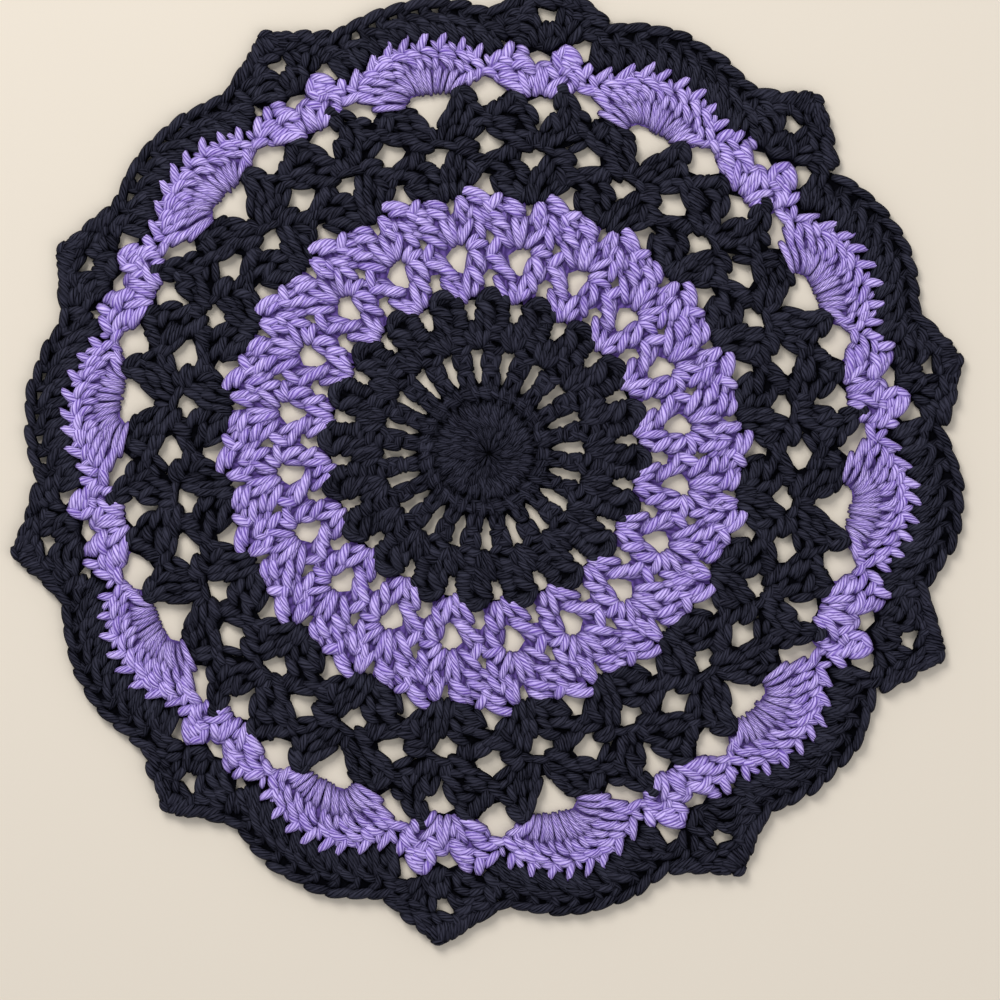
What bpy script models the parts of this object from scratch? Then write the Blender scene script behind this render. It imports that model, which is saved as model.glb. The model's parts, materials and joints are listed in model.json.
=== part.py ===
"""Round crochet lace doily: one flat openwork sheet with ten points, lying on a table.

The sheet is described as a regular lace first (rings of gaps, an outline of ten scallops and ten
points), and `settled` then moves every point a little, because hand-worked lace never lies as a
perfect circle. The underside is flat, and the top is pillowed: thin at every edge, thicker in the
middle of each band of stitches.
"""

import math

import bmesh
import bpy
import numpy as np
from mathutils import Vector
from mathutils.geometry import delaunay_2d_cdt

MM = 0.001

# Driving dimensions
REPEATS = 10                    # points, and fans between them
TIP_RADIUS = 152.8 * MM         # centre to where a point's two slopes meet
CREST_RADIUS = 146.5 * MM       # centre to the middle of a scallop
VALLEY_RADIUS = 139.6 * MM      # centre to the dip beside a point
FIRST_TIP = 11.6                # degrees, anticlockwise from +X
TIP_HALF_ANGLE = 6.9            # degrees from a tip to where its slope meets the scallop
TIP_BLUNTNESS = 0.6             # degrees, how far the tip is rounded off
SCALLOP_HALF_ANGLE = 12.0       # degrees from a crest to its valley
HEADS_PER_REPEAT = 16           # stitch heads along the edge, tip to tip
HEAD_BUMP = 0.5 * MM            # how far one head bulges past its neighbours' join
EDGE_THICKNESS = 2.3 * MM       # one yarn
MIDDLE_THICKNESS = 3.7 * MM     # stitch legs and the yarn wrapped over them
PILLOW_REACH = 2.6 * MM         # from an edge to full thickness
MOUND_PITCH = 5.2 * MM          # spacing of the points that carry the pillowed top
MOUND_CLEAR = 1.5 * MM          # least distance from such a point to an edge

# The lie of the worked cloth: how each radius of the lace has moved. radius, right, up: mm. oval:
# percent that it is the longer along OVAL_AT. once, twice: degrees that its stitches have crept
# round, forwards on one side and back on the other, once and twice in a turn.
OVAL_AT = -18
LIE_COLUMNS = ("radius", "right", "up", "oval", "once", "twice")
LIE_ROWS = (
    (27,  -0.3,  0.1, 0.4, -1.3, 0.9),
    (44,  -0.2,  0.1, 1.2, -0.2, 0.9),
    (60,  -0.1,  0.5, 1.2,  0.3, 0.8),
    (84,   0.0, -0.2, 0.8,  0.8, 0.5),
    (97,   0.1, -0.7, 0.7,  0.9, 0.6),
    (113,  0.4, -1.2, 0.7,  1.0, 0.5),
    (126,  1.2, -2.0, 0.7,  1.0, 0.4),
    (147,  2.6, -2.4, 0.2,  1.0, 0.4),
)

# The ten points, in order from FIRST_TIP, and the scallop that follows each. reach, crest: mm that
# the tip and the scallop stand further out than the mean; lean: degrees that the tip lies forward.
POINT_COLUMNS = ("reach", "lean", "crest")
POINT_ROWS = (
    (-2.0,  0.8,  0.0),
    (1.0,   1.6,  0.0),
    (0.0,   0.0, -1.0),
    (-0.4, -0.4, -0.6),
    (-1.0, -0.8,  0.2),
    (1.2,   0.2,  1.0),
    (-0.4, -0.8,  0.8),
    (1.6,  -0.8, -1.0),
    (-0.6,  0.2, -0.4),
    (2.2,   0.4,  1.6),
)

# The gaps, one row for each ring of like gaps. count: gaps in the ring; first: degrees of its
# first gap; radius: centre of the doily to centre of the gap; wide, tall: its size across and
# outwards; egg: how much its outer half is the wider (+) or the narrower (-); corners: points of
# its loop. Sizes are in mm.
GAP_COLUMNS = ("count", "first", "radius", "wide", "tall", "egg", "corners")
GAP_ROWS = (
    ("spoke slit",       20,   2.3,  27.7,  3.2,  9.2,  0.45, 8),
    ("cluster chink",    20,   4.9,  44.5,  2.6,  4.2,  0.30, 6),
    ("between Vs",       20,  15.5,  53.1,  3.6,  4.4, -0.25, 8),
    ("V hole",           20,   7.2,  60.1,  6.2,  7.4,  0.15, 8),
    ("above a shell",    20,  18.4,  83.5,  6.0,  4.6,  0.25, 8),
    ("shell hole",       20,   9.4,  92.7,  4.6,  5.8, -0.10, 8),
    ("diamond",          20,  19.0,  97.6, 10.2,  7.2,  0.00, 8),
    ("point shell hole", 10,  10.2, 108.5,  7.4,  7.8, -0.15, 8),
    ("fan hole",         10,  28.1, 109.6, 11.6,  9.6,  0.10, 8),
    ("fan side, left",   10,  18.5, 114.0,  9.8,  8.6, -0.20, 8),
    ("fan side, right",  10,  38.7, 112.6, 10.2,  7.0, -0.10, 8),
    ("point shell eye",  10,  11.3, 125.4,  5.0,  5.0, -0.20, 8),
    ("beside a point",   10,   6.4, 131.4,  3.8,  5.2,  0.10, 8),
    ("point hole",       10,  12.0, 139.6,  4.8,  5.0, -0.20, 8),
)

# Bands of yarn colour, from the middle outwards: (outer radius, yarn).
BLACK, LILAC = 0, 1
BANDS = ((47.5, BLACK), (82.0, LILAC), (113.0, BLACK), (133.0, LILAC), (200.0, BLACK))


def clear_scene():
    for thing in list(bpy.data.objects):
        bpy.data.objects.remove(thing, do_unlink=True)


def turned_by(angle_deg, centre_deg, step_deg):
    """Degrees from the nearest of the angles centre, centre + step, ... to this angle."""
    return (angle_deg - centre_deg + step_deg / 2) % step_deg - step_deg / 2


def lie_at(radius):
    """The lie of the cloth at this radius, read between the rows of the table."""
    rows = np.array(LIE_ROWS)
    return {
        name: np.interp(radius / MM, rows[:, 0], rows[:, i])
        for i, name in enumerate(LIE_COLUMNS)
    }


def settled(radius, angle_deg):
    """A point of the regular lace, moved to where the worked cloth lies: (x, y) in metres."""
    lie = lie_at(radius)
    turn = math.radians(angle_deg)
    crept = turn - math.radians(lie["once"]) * math.sin(turn)
    crept -= math.radians(lie["twice"]) * math.sin(2 * turn + math.radians(30))
    swell = 1 + lie["oval"] / 100 * math.cos(2 * (turn - math.radians(OVAL_AT)))
    return (
        radius * swell * math.cos(crept) + lie["right"] * MM,
        radius * swell * math.sin(crept) + lie["up"] * MM,
    )


def point_row(angle_deg, nearest):
    """The row of the point nearest to this angle, or of the last point passed."""
    steps = (angle_deg - FIRST_TIP) * REPEATS / 360
    index = round(steps) if nearest else math.floor(steps)
    return dict(zip(POINT_COLUMNS, POINT_ROWS[index % REPEATS]))


def outline_radius(angle_deg):
    """Radius of the outer edge: a shallow scallop over each fan, and a point between two."""
    step = 360 / REPEATS
    from_crest = turned_by(angle_deg, FIRST_TIP + step / 2, step)
    crest = CREST_RADIUS + point_row(angle_deg, nearest=False)["crest"] * MM
    fall = (min(abs(from_crest), SCALLOP_HALF_ANGLE) / SCALLOP_HALF_ANGLE) ** 2
    scallop = crest - (crest - VALLEY_RADIUS) * fall
    point = point_row(angle_deg, nearest=True)
    from_tip = turned_by(angle_deg, FIRST_TIP, step) - point["lean"]
    down_slope = math.hypot(from_tip, TIP_BLUNTNESS) / TIP_HALF_ANGLE
    height = TIP_RADIUS + point["reach"] * MM - VALLEY_RADIUS
    return scallop + height * max(0, 1 - down_slope)


def outline_loop():
    """The outer edge, two points to each stitch head: its crown and its join."""
    heads = REPEATS * HEADS_PER_REPEAT
    points = []
    for i in range(2 * heads):
        angle = FIRST_TIP + i * 180 / heads
        bulge = HEAD_BUMP / 2 if i % 2 == 0 else -HEAD_BUMP / 2
        points.append(settled(outline_radius(angle) + bulge, angle))
    return points


def gap_loop(gap, angle_deg):
    """One gap's edge: an ellipse, made egg-shaped by `egg`, with its long way turned outwards."""
    points = []
    for i in range(gap["corners"]):
        turn = 2 * math.pi * i / gap["corners"]
        outward = math.cos(turn) * gap["tall"] / 2 * MM
        across = math.sin(turn) * gap["wide"] / 2 * MM * (1 + gap["egg"] * math.cos(turn))
        radius = gap["radius"] * MM + outward
        points.append(settled(radius, angle_deg - math.degrees(across / radius)))
    return points


def gap_loops():
    loops = []
    for row in GAP_ROWS:
        gap = dict(zip(GAP_COLUMNS, row[1:]))
        for i in range(gap["count"]):
            loops.append(gap_loop(gap, gap["first"] + i * 360 / gap["count"]))
    return loops


def loop_edges(loops):
    """Index pairs along every closed loop, numbered through all the loops in turn."""
    edges, start = [], 0
    for loop in loops:
        n = len(loop)
        edges += [(start + i, start + (i + 1) % n) for i in range(n)]
        start += n
    return edges


def distance_to_edges(points, corners, edges):
    """Shortest distance from each point to any edge of the sheet."""
    a, b = corners[edges[:, 0]], corners[edges[:, 1]]
    along = b - a
    offset = points[:, None, :] - a[None, :, :]
    share = np.clip((offset * along).sum(2) / (along**2).sum(1), 0, 1)
    return np.linalg.norm(offset - share[..., None] * along, axis=2).min(1)


def on_material(points, corners, edges):
    """Whether each point lies on the lace: a ray to +X crosses its edges an odd number of times."""
    a, b = corners[edges[:, 0]], corners[edges[:, 1]]
    y = points[:, 1, None]
    spans = (a[:, 1] > y) != (b[:, 1] > y)
    height = np.where(a[:, 1] == b[:, 1], 1, b[:, 1] - a[:, 1])
    crossing = a[:, 0] + (y - a[:, 1]) * (b[:, 0] - a[:, 0]) / height
    return (spans & (crossing > points[:, 0, None])).sum(1) % 2 == 1


def mound_points(corners, edges):
    """Points inside the bands of stitches, in rings, that lift the top to its full thickness."""
    points = [(0.0, 0.0)]
    for ring in range(1, int(TIP_RADIUS / MOUND_PITCH) + 1):
        radius = ring * MOUND_PITCH
        count = 2 * REPEATS * max(1, round(math.pi * ring / REPEATS))
        for i in range(count):
            points.append(settled(radius, FIRST_TIP + (i + ring % 2 / 2) * 360 / count))
    points = np.array(points)
    keep = on_material(points, corners, edges)
    keep &= distance_to_edges(points, corners, edges) > MOUND_CLEAR
    return points[keep]


def triangles_between(points, corners, edges):
    """Triangles over the lace, joining these points and no gap; anticlockwise from above."""
    flat = [Vector((float(x), float(y))) for x, y in points]
    placed, _, faces, *_ = delaunay_2d_cdt(flat, edges.tolist(), [], 0, 1e-7)
    if len(placed) != len(flat):
        raise ValueError("two gaps of the lace touch")
    faces = np.array([tuple(face) for face in faces])
    inside = on_material(points[faces].mean(1), corners, edges)
    return [tuple(int(i) for i in face) for face in faces[inside]]


def top_heights(points, corners, edges):
    rise = np.clip(distance_to_edges(points, corners, edges) / PILLOW_REACH, 0, 1)
    return EDGE_THICKNESS + (MIDDLE_THICKNESS - EDGE_THICKNESS) * np.sin(rise * math.pi / 2)


def lace_mesh():
    """The closed sheet: pillowed top, flat underside, and a wall around every loop."""
    loops = [outline_loop()] + gap_loops()
    corners = np.array([point for loop in loops for point in loop])
    edges = np.array(loop_edges(loops))
    top = np.concatenate([corners, mound_points(corners, edges)])
    heights = top_heights(top, corners, edges)

    vertices = [(x, y, z) for (x, y), z in zip(top.tolist(), heights.tolist())]
    under = len(vertices)
    vertices += [(x, y, 0.0) for x, y in corners.tolist()]

    faces = triangles_between(top, corners, edges)
    for a, b, c in triangles_between(corners, corners, edges):
        faces.append((under + c, under + b, under + a))
    faces += [(a, b, under + b, under + a) for a, b in edges.tolist()]

    mesh = bpy.data.meshes.new("doily")
    mesh.from_pydata(vertices, [], faces)
    return mesh


def face_outwards(mesh):
    shape = bmesh.new()
    shape.from_mesh(mesh)
    bmesh.ops.recalc_face_normals(shape, faces=shape.faces)
    shape.to_mesh(mesh)
    shape.free()


def yarn_material(name, colour, roughness):
    material = bpy.data.materials.new(name)
    material.use_nodes = True
    shader = material.node_tree.nodes["Principled BSDF"]
    shader.inputs["Base Color"].default_value = (*colour, 1)
    shader.inputs["Roughness"].default_value = roughness
    shader.inputs["Metallic"].default_value = 0
    material.diffuse_color = (*colour, 1)
    return material


def colour_bands(mesh):
    """Each face takes the yarn of the band that its middle lies in."""
    mesh.materials.append(yarn_material("black cotton yarn", (0.012, 0.013, 0.020), 0.60))
    mesh.materials.append(yarn_material("lilac cotton yarn", (0.34, 0.23, 0.62), 0.55))
    for face in mesh.polygons:
        radius = face.center.xy.length / MM
        face.material_index = next(yarn for outer, yarn in BANDS if radius < outer)


def make_doily():
    mesh = lace_mesh()
    face_outwards(mesh)
    colour_bands(mesh)
    mesh.shade_smooth()
    mesh.set_sharp_from_angle(angle=math.radians(40))
    doily = bpy.data.objects.new("doily", mesh)
    bpy.context.scene.collection.objects.link(doily)


clear_scene()
make_doily()
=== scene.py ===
# %% [markdown]
# # A crocheted lace doily, stitch by stitch
#
# The doily is worked in the round with two yarns, one black and one lilac, in nine rounds of
# treble stitches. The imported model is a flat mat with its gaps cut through. Here every stitch of
# that mat gets its own loops of yarn, so that light catches the strands as it does on real cotton.
#
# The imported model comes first, because every loop below is laid over it, in the same frame.

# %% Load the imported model
import json
import math

import bpy
import numpy as np
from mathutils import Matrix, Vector
from mathutils.geometry import delaunay_2d_cdt

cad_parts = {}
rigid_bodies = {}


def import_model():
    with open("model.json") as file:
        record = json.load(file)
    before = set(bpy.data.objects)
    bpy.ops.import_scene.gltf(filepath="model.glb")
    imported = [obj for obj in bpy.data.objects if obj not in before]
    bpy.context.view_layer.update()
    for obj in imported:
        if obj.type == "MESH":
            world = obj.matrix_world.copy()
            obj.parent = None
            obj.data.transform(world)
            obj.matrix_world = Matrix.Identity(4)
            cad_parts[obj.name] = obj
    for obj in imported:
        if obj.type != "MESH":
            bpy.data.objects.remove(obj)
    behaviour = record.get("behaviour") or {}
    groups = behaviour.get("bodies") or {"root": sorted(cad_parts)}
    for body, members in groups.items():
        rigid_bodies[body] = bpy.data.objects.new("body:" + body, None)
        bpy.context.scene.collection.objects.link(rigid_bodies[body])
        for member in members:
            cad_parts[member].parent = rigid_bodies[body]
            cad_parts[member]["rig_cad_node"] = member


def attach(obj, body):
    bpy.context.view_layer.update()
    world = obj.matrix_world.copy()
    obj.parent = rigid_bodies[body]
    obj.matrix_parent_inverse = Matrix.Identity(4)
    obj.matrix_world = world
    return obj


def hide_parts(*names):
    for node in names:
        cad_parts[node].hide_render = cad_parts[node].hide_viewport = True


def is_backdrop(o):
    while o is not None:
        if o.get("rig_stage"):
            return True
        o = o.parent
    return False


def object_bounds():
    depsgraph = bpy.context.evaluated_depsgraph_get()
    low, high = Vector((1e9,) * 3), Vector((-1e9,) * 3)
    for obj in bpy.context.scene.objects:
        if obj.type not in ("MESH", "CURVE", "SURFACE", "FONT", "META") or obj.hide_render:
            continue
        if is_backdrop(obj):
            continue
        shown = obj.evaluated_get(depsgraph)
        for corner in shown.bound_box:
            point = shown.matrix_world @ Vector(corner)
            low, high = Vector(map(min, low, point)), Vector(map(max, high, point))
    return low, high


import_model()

MM = 0.001
for thing in list(bpy.data.objects):        # the cube, lamp and camera that Blender starts with
    if thing.type in ("MESH", "LIGHT", "CAMERA") and "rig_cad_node" not in thing:
        bpy.data.objects.remove(thing, do_unlink=True)
cad_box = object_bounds()
print("mat:", [round((high - low) / MM, 1) for low, high in zip(*cad_box)], "mm")

# %% [markdown]
# ## Camera
#
# The doily lies flat and is seen from straight above, a little off its middle. A long lens from
# over a metre away keeps the rings round, as a camera held high over a table does. The width of
# the view and the distance give the focal length, so that only two plain sizes have to be known.

# %% Camera
VIEW_WIDTH = 311.2 * MM
CAMERA_HEIGHT = 1.3
AIM = (4.8 * MM, -15.4 * MM)

camera_data = bpy.data.cameras.new("overhead_camera")
camera_data.sensor_width = 36       # mm
camera_data.lens = camera_data.sensor_width * CAMERA_HEIGHT / VIEW_WIDTH
camera = bpy.data.objects.new("overhead_camera", camera_data)
camera.location = (AIM[0], AIM[1], CAMERA_HEIGHT)
bpy.context.collection.objects.link(camera)
bpy.context.scene.camera = camera
print("lens:", round(camera_data.lens), "mm")

# %% [markdown]
# ## The lie of the cloth
#
# A pattern for a doily is perfectly regular, and the worked doily never is: each ring sits a
# little off centre, is slightly oval and has crept round. It could be nudged stitch by stitch.
# Instead everything is first worked out on the regular pattern and one function then settles it,
# so strands that touch on the pattern still touch on the table. The same rows shape the mat.

# %% Settle regular points to where the cloth lies
OVAL_AT = -18           # degrees from +X to the way in which the rings are longer
TWICE_AHEAD = 30        # degrees that the creep with two waves a turn runs ahead
LIE_ROWS = np.array((
    # radius, right, up: mm; oval: percent; once, twice: degrees
    (2,    1.3, -1.1, 0.4, -1.3, 0.9),
    (15,   0.0, -0.1, 0.4, -1.3, 0.9),
    (27,  -0.3,  0.1, 0.4, -1.3, 0.9),
    (44,  -0.2,  0.1, 1.2, -0.2, 0.9),
    (60,  -0.1,  0.5, 1.2,  0.3, 0.8),
    (84,   0.0, -0.2, 0.8,  0.8, 0.5),
    (97,   0.1, -0.7, 0.7,  0.9, 0.6),
    (113,  0.4, -1.2, 0.7,  1.0, 0.5),
    (126,  1.2, -2.0, 0.7,  1.0, 0.4),
    (147,  2.6, -2.4, 0.2,  1.0, 0.4),
))


def settled(points):
    """Regular points (..., 2 or 3 numbers, mm), moved: the angle creeps by a sine of itself and a
    sine of its double, the radius swells by a cosine of the doubled angle, and the ring shifts."""
    radius = np.hypot(points[..., 0], points[..., 1])
    turn = np.arctan2(points[..., 1], points[..., 0])
    right, up, oval, once, twice = (
        np.interp(radius, LIE_ROWS[:, 0], LIE_ROWS[:, i]) for i in range(1, 6)
    )
    crept = turn - np.radians(once) * np.sin(turn)
    crept -= np.radians(twice) * np.sin(2 * turn + math.radians(TWICE_AHEAD))
    swell = radius * (1 + oval / 100 * np.cos(2 * (turn - math.radians(OVAL_AT))))
    moved = np.array(points, dtype=float)
    moved[..., 0] = swell * np.cos(crept) + right
    moved[..., 1] = swell * np.sin(crept) + up
    return moved


def place(turn_deg, across, radius):
    """Regular points: `across` mm clockwise of an angle, measured along the circle of `radius`."""
    across, radius = np.asarray(across, float), np.asarray(radius, float)
    turn = np.radians(turn_deg) - across / radius
    return np.stack([radius * np.cos(turn), radius * np.sin(turn)], axis=-1)


print("the edge at +X lies at", settled(np.array([146.5, 0.0])).round(1), "mm")

# %% [markdown]
# ## One strand of yarn
#
# What the eye reads as a stitch is a handful of strands. Each one comes up between its
# neighbours, lies on the front for a few millimetres and dives again, and its other half lies on
# the back. A long yarn could be led through every loop, but most of it would be hidden. So each
# strand is a closed loop of its own: a front arch, two dives and a flat return along the back.
#
# Most of a loop's rings are on the front, where they are seen. No two strands lie quite alike:
# ends, bow, thickness and height all stray a little, by draws from one seeded generator.

# %% The course of a strand
PART = np.array([0, 0.06, 0.17, 0.33, 0.5, 0.67, 0.83, 0.94, 1, 0.84, 0.5, 0.16])
FRONT_END = 8           # the ring at which the front arch ends and the way back begins
IS_BACK = np.arange(len(PART)) > FRONT_END
ARCH = np.where(IS_BACK, 0, np.sin(np.pi * PART) ** 0.5)
FULLNESS = 0.76 + 0.24 * np.sin(np.pi * PART) ** 0.5    # a strand is pinched where it dives
FRONT_TOP, LOW_TOP, DIVE, BACK_LIFT = 3.0, 2.2, 0.95, 0.06      # heights above the table, mm
FLATTENED = 0.76        # pressed yarn is lower than it is wide
PLUMP = 1.16            # the tables hold what shows of a strand, and its flanks lie hidden
TUCK = 0.1              # mm that a strand runs on under its neighbours
UNEVEN = 0.22           # mm that a strand lies higher or lower than the pattern
STRAY = 0.26            # mm that the end of a strand strays from the pattern
BOW_STRAY = 0.15        # mm that its bow strays
THICK_STRAY = 0.05      # share of its thickness that it is thicker or thinner
BACK_BOW = 0.4          # share of the bow that the half on the back has
WIDTH, BOW, LOW, FULL_START, FULL_END = range(4, 9)     # columns after those of the two ends
ROW_TAIL = (0.0, 0.0, 1.0, 1.0)     # bow, low and fullness of a plain strand


def strand_rows(*rows):
    """A table of strands. Each row is: across and radius of the start, across and radius of the
    end, width; then, where it matters, the bow to the left of its course, how low it lies (1 is
    right down in the work, a part of 1 is half sunk, less than 0 stands proud), and how full its
    start and its end are."""
    return np.array([tuple(row) + ROW_TAIL[len(row) - BOW:] for row in rows], dtype=float)


def strand_courses(table, turns, rng, fit=None):
    """Centre points (strands, rings, 3) and radii (strands, rings) of a table repeated at turns.
    A ring lies a part of the way from start to end, plus the bow times 4 part (1 - part)."""
    rows = np.repeat(table[None], len(turns), axis=0)
    start, end = rows[..., 0:2], rows[..., 2:4]
    if fit is not None:
        start, end = fit(start), fit(end)
    start = start + STRAY * rng.normal(size=start.shape)
    end = end + STRAY * rng.normal(size=end.shape)
    ahead = unit(end - start)
    start, end = start - TUCK * ahead, end + TUCK * ahead
    way = (end - start)[..., None, :]
    left = unit(np.stack([-way[..., 1], way[..., 0]], axis=-1))
    bow = rows[..., BOW, None] + BOW_STRAY * rng.normal(size=rows.shape[:2])[..., None]
    bow = bow * 4 * PART * (1 - PART) * np.where(IS_BACK, BACK_BOW, 1.0)
    flat = start[..., None, :] + PART[:, None] * way + bow[..., None] * left
    flat = settled(place(np.asarray(turns)[:, None, None], flat[..., 0], flat[..., 1]))

    full_start, full_end = rows[..., FULL_START, None], rows[..., FULL_END, None]
    full = full_start + (full_end - full_start) * PART
    thick = 1 + THICK_STRAY * rng.normal(size=rows.shape[:2])
    radii = PLUMP * rows[..., WIDTH, None] / 2 * thick[..., None] * full * FULLNESS
    top = FRONT_TOP + (LOW_TOP - FRONT_TOP) * rows[..., LOW] + UNEVEN * rng.normal(size=thick.shape)
    height = DIVE + (top[..., None] - DIVE) * ARCH
    height = np.where(IS_BACK, 0, height)
    height = np.maximum(height, radii * FLATTENED + BACK_LIFT)
    points = np.concatenate([flat, height[..., None]], axis=-1)
    return points.reshape(-1, len(PART), 3), radii.reshape(-1, len(PART))


def unit(vectors):
    """Each vector over its own length, which is never taken as nothing."""
    return vectors / np.maximum(np.linalg.norm(vectors, axis=-1, keepdims=True), 1e-9)


print("rings in a strand:", len(PART), "of which", int(IS_BACK.sum()), "on the back")

# %% [markdown]
# ## Skin round a strand
#
# A ring of six corners goes round each of those points. Its two directions are the level one
# across the strand and the one square to that and to the course. A strand's loop stands upright,
# so the level direction never lines up with the course and the skin can't twist.
#
# Each corner gets two numbers in a UV map: millimetres along the yarn, and the part of a turn
# round it. The material lays its plies by these, so the twist follows every bend.

# %% Build the skin
SIDES = 6
SKEIN = 40              # mm: each strand starts at its own place in the twist of the yarn


def strand_skins(points, radii):
    """Corners (strands, rings, sides, 3): centre, plus the radius times a cosine of the level
    direction and a sine of the other."""
    course = unit(np.roll(points, -1, axis=1) - np.roll(points, 1, axis=1))
    span = points[:, FRONT_END] - points[:, 0]
    level = np.stack([-span[:, 1], span[:, 0], np.zeros(len(span))], axis=-1)[:, None]
    level = unit(level - (level * course).sum(-1, keepdims=True) * course)
    other = np.cross(course, level)
    turn = 2 * np.pi * np.arange(SIDES) / SIDES
    out = level[:, :, None] * np.cos(turn)[:, None] + other[:, :, None] * np.sin(turn)[:, None]
    out = out * radii[:, :, None, None]
    out[..., 2] *= FLATTENED
    corners = points[:, :, None] + out
    corners[..., 2] = np.maximum(corners[..., 2], BACK_LIFT)
    return corners


def skin_faces(strands, rings):
    """Quads (faces, 4), and for each of their corners the strand, the ring and the side, with
    rings and sides counted on past the seam."""
    strand, ring, side = (a.ravel()[:, None] for a in np.meshgrid(
        np.arange(strands), np.arange(rings), np.arange(SIDES), indexing="ij"
    ))
    strand_at = np.repeat(strand, 4, axis=1)
    ring_at, side_at = ring + np.array([0, 1, 1, 0]), side + np.array([0, 0, 1, 1])
    index = (strand_at * rings + ring_at % rings) * SIDES + side_at % SIDES
    return index, strand_at, ring_at, side_at


def strand_bundle(points, radii, rng):
    """Corners, faces, UV of each face corner and shade of each corner, for many strands. The
    first UV number is the sum of the steps between centre points, the second the side over six."""
    corners = strand_skins(points, radii)
    faces, strand_at, ring_at, side_at = skin_faces(*points.shape[:2])
    steps = np.linalg.norm(np.roll(points, -1, axis=1) - points, axis=-1)
    along = np.concatenate([np.zeros((len(points), 1)), np.cumsum(steps, axis=1)], axis=1)
    along = along + SKEIN * rng.random((len(points), 1))
    uv = np.stack([along[strand_at, ring_at], side_at / SIDES], axis=-1).reshape(-1, 2)
    shade = np.repeat(rng.random(len(points)), len(PART) * SIDES)
    return corners.reshape(-1, 3), faces, uv, shade


# %% [markdown]
# ## Yarn finish
#
# The yarn is soft mercerised cotton: fine plies twisted together, a slight sheen, and dark
# grooves between them. The twist could be modelled, but on tens of metres of yarn that is
# millions of faces. A bump does it instead. The ply grooves come from a sine of the UV map, and
# fibres from noise stretched along the plies. The same sine also sets the colour: ply ridges
# get a painted highlight and the grooves painted shade. What lies deeper between the strands
# gets less light, so the height above the table also darkens the colour as painted shade. The
# strands that lie right on the table are the underside's own surface, so they are light again.

# %% Short forms for nodes and colours
def node(tree, kind, **inputs):
    """A new node of a kind, with the inputs that are named set to their values."""
    made = tree.nodes.new(kind)
    for name, value in inputs.items():
        made.inputs[name].default_value = value
    return made


def maths(tree, operation, first, second=None, third=None):
    """A Math node whose operands are sockets or numbers."""
    made = tree.nodes.new("ShaderNodeMath")
    made.operation = operation
    for socket, value in zip(made.inputs, (first, second, third)):
        if value is None:
            continue
        if isinstance(value, (int, float)):
            socket.default_value = value
        else:
            tree.links.new(value, socket)
    return made.outputs[0]


def srgb(red, green, blue):
    """A colour of 0 to 255 as screens give it, made linear for Blender."""
    share = np.array([red, green, blue]) / 255
    linear = np.where(share <= 0.04045, share / 12.92, ((share + 0.055) / 1.055) ** 2.4)
    return tuple(float(x) for x in linear)


print("mid grey as Blender counts light:", round(srgb(128, 128, 128)[0], 3))

# %% Place in the twist, and depth in the work
PLIES = 8
LAY = 13.0          # mm of yarn for one full twist
SHADOW_FROM, SHADOW_TO = 1.6 * MM, 3.5 * MM     # heights: deep in the work, and on top of it
BACK_FROM, BACK_TO = 0.9 * MM, 0.4 * MM         # heights: deep again, and on the underside


def ply_phase(tree):
    """Which ply, and how far across it: turns round the yarn times plies, plus mm along over the
    length of one ply's share of the twist. Returns (phase, along)."""
    uv = tree.nodes.new("ShaderNodeUVMap")
    uv.uv_map = "yarn"
    split = tree.nodes.new("ShaderNodeSeparateXYZ")
    tree.links.new(uv.outputs[0], split.inputs[0])
    round_it = maths(tree, "MULTIPLY", split.outputs[1], PLIES)
    phase = maths(tree, "MULTIPLY_ADD", split.outputs[0], PLIES / LAY, round_it)
    return phase, split.outputs[0]


def lit_height(tree):
    """0 deep between the strands to 1 on top of them, from the height above the table, and 1
    again on the side that lies on it: the larger of a rising and a falling share of the height."""
    place_at = tree.nodes.new("ShaderNodeTexCoord")
    split = tree.nodes.new("ShaderNodeSeparateXYZ")
    tree.links.new(place_at.outputs["Object"], split.inputs[0])
    shares = []
    for dark_at, lit_at in ((SHADOW_FROM, SHADOW_TO), (BACK_FROM, BACK_TO)):
        ranged = tree.nodes.new("ShaderNodeMapRange")
        ranged.inputs["From Min"].default_value = dark_at
        ranged.inputs["From Max"].default_value = lit_at
        tree.links.new(split.outputs[2], ranged.inputs["Value"])
        shares.append(ranged.outputs[0])
    return maths(tree, "MAXIMUM", *shares)


print("a new ply comes round every", LAY / PLIES, "mm of yarn")

# %% [markdown]
# ## Two dyes of one cotton
#
# Both yarns are the same cotton, so one function makes both materials. Lilac shows its plies and
# its gloss, while black takes in nearly all light and keeps only a dull shine on its fibres.

# %% Yarn material
FIBRE_ACROSS, FIBRE_ALONG = 1.6, 0.25           # noise steps for each ply and for each mm
STRAND_APART = 37.0         # noise steps from one strand to the next, so that none look alike
PLY_WAVER = 1.2             # how far the plies wander off their even twist
GROOVE_DEPTH = 0.30 * MM
TONE_DARK, TONE_LIGHT = 0.28, 0.74              # tones that get the middle and the light colour


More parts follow.
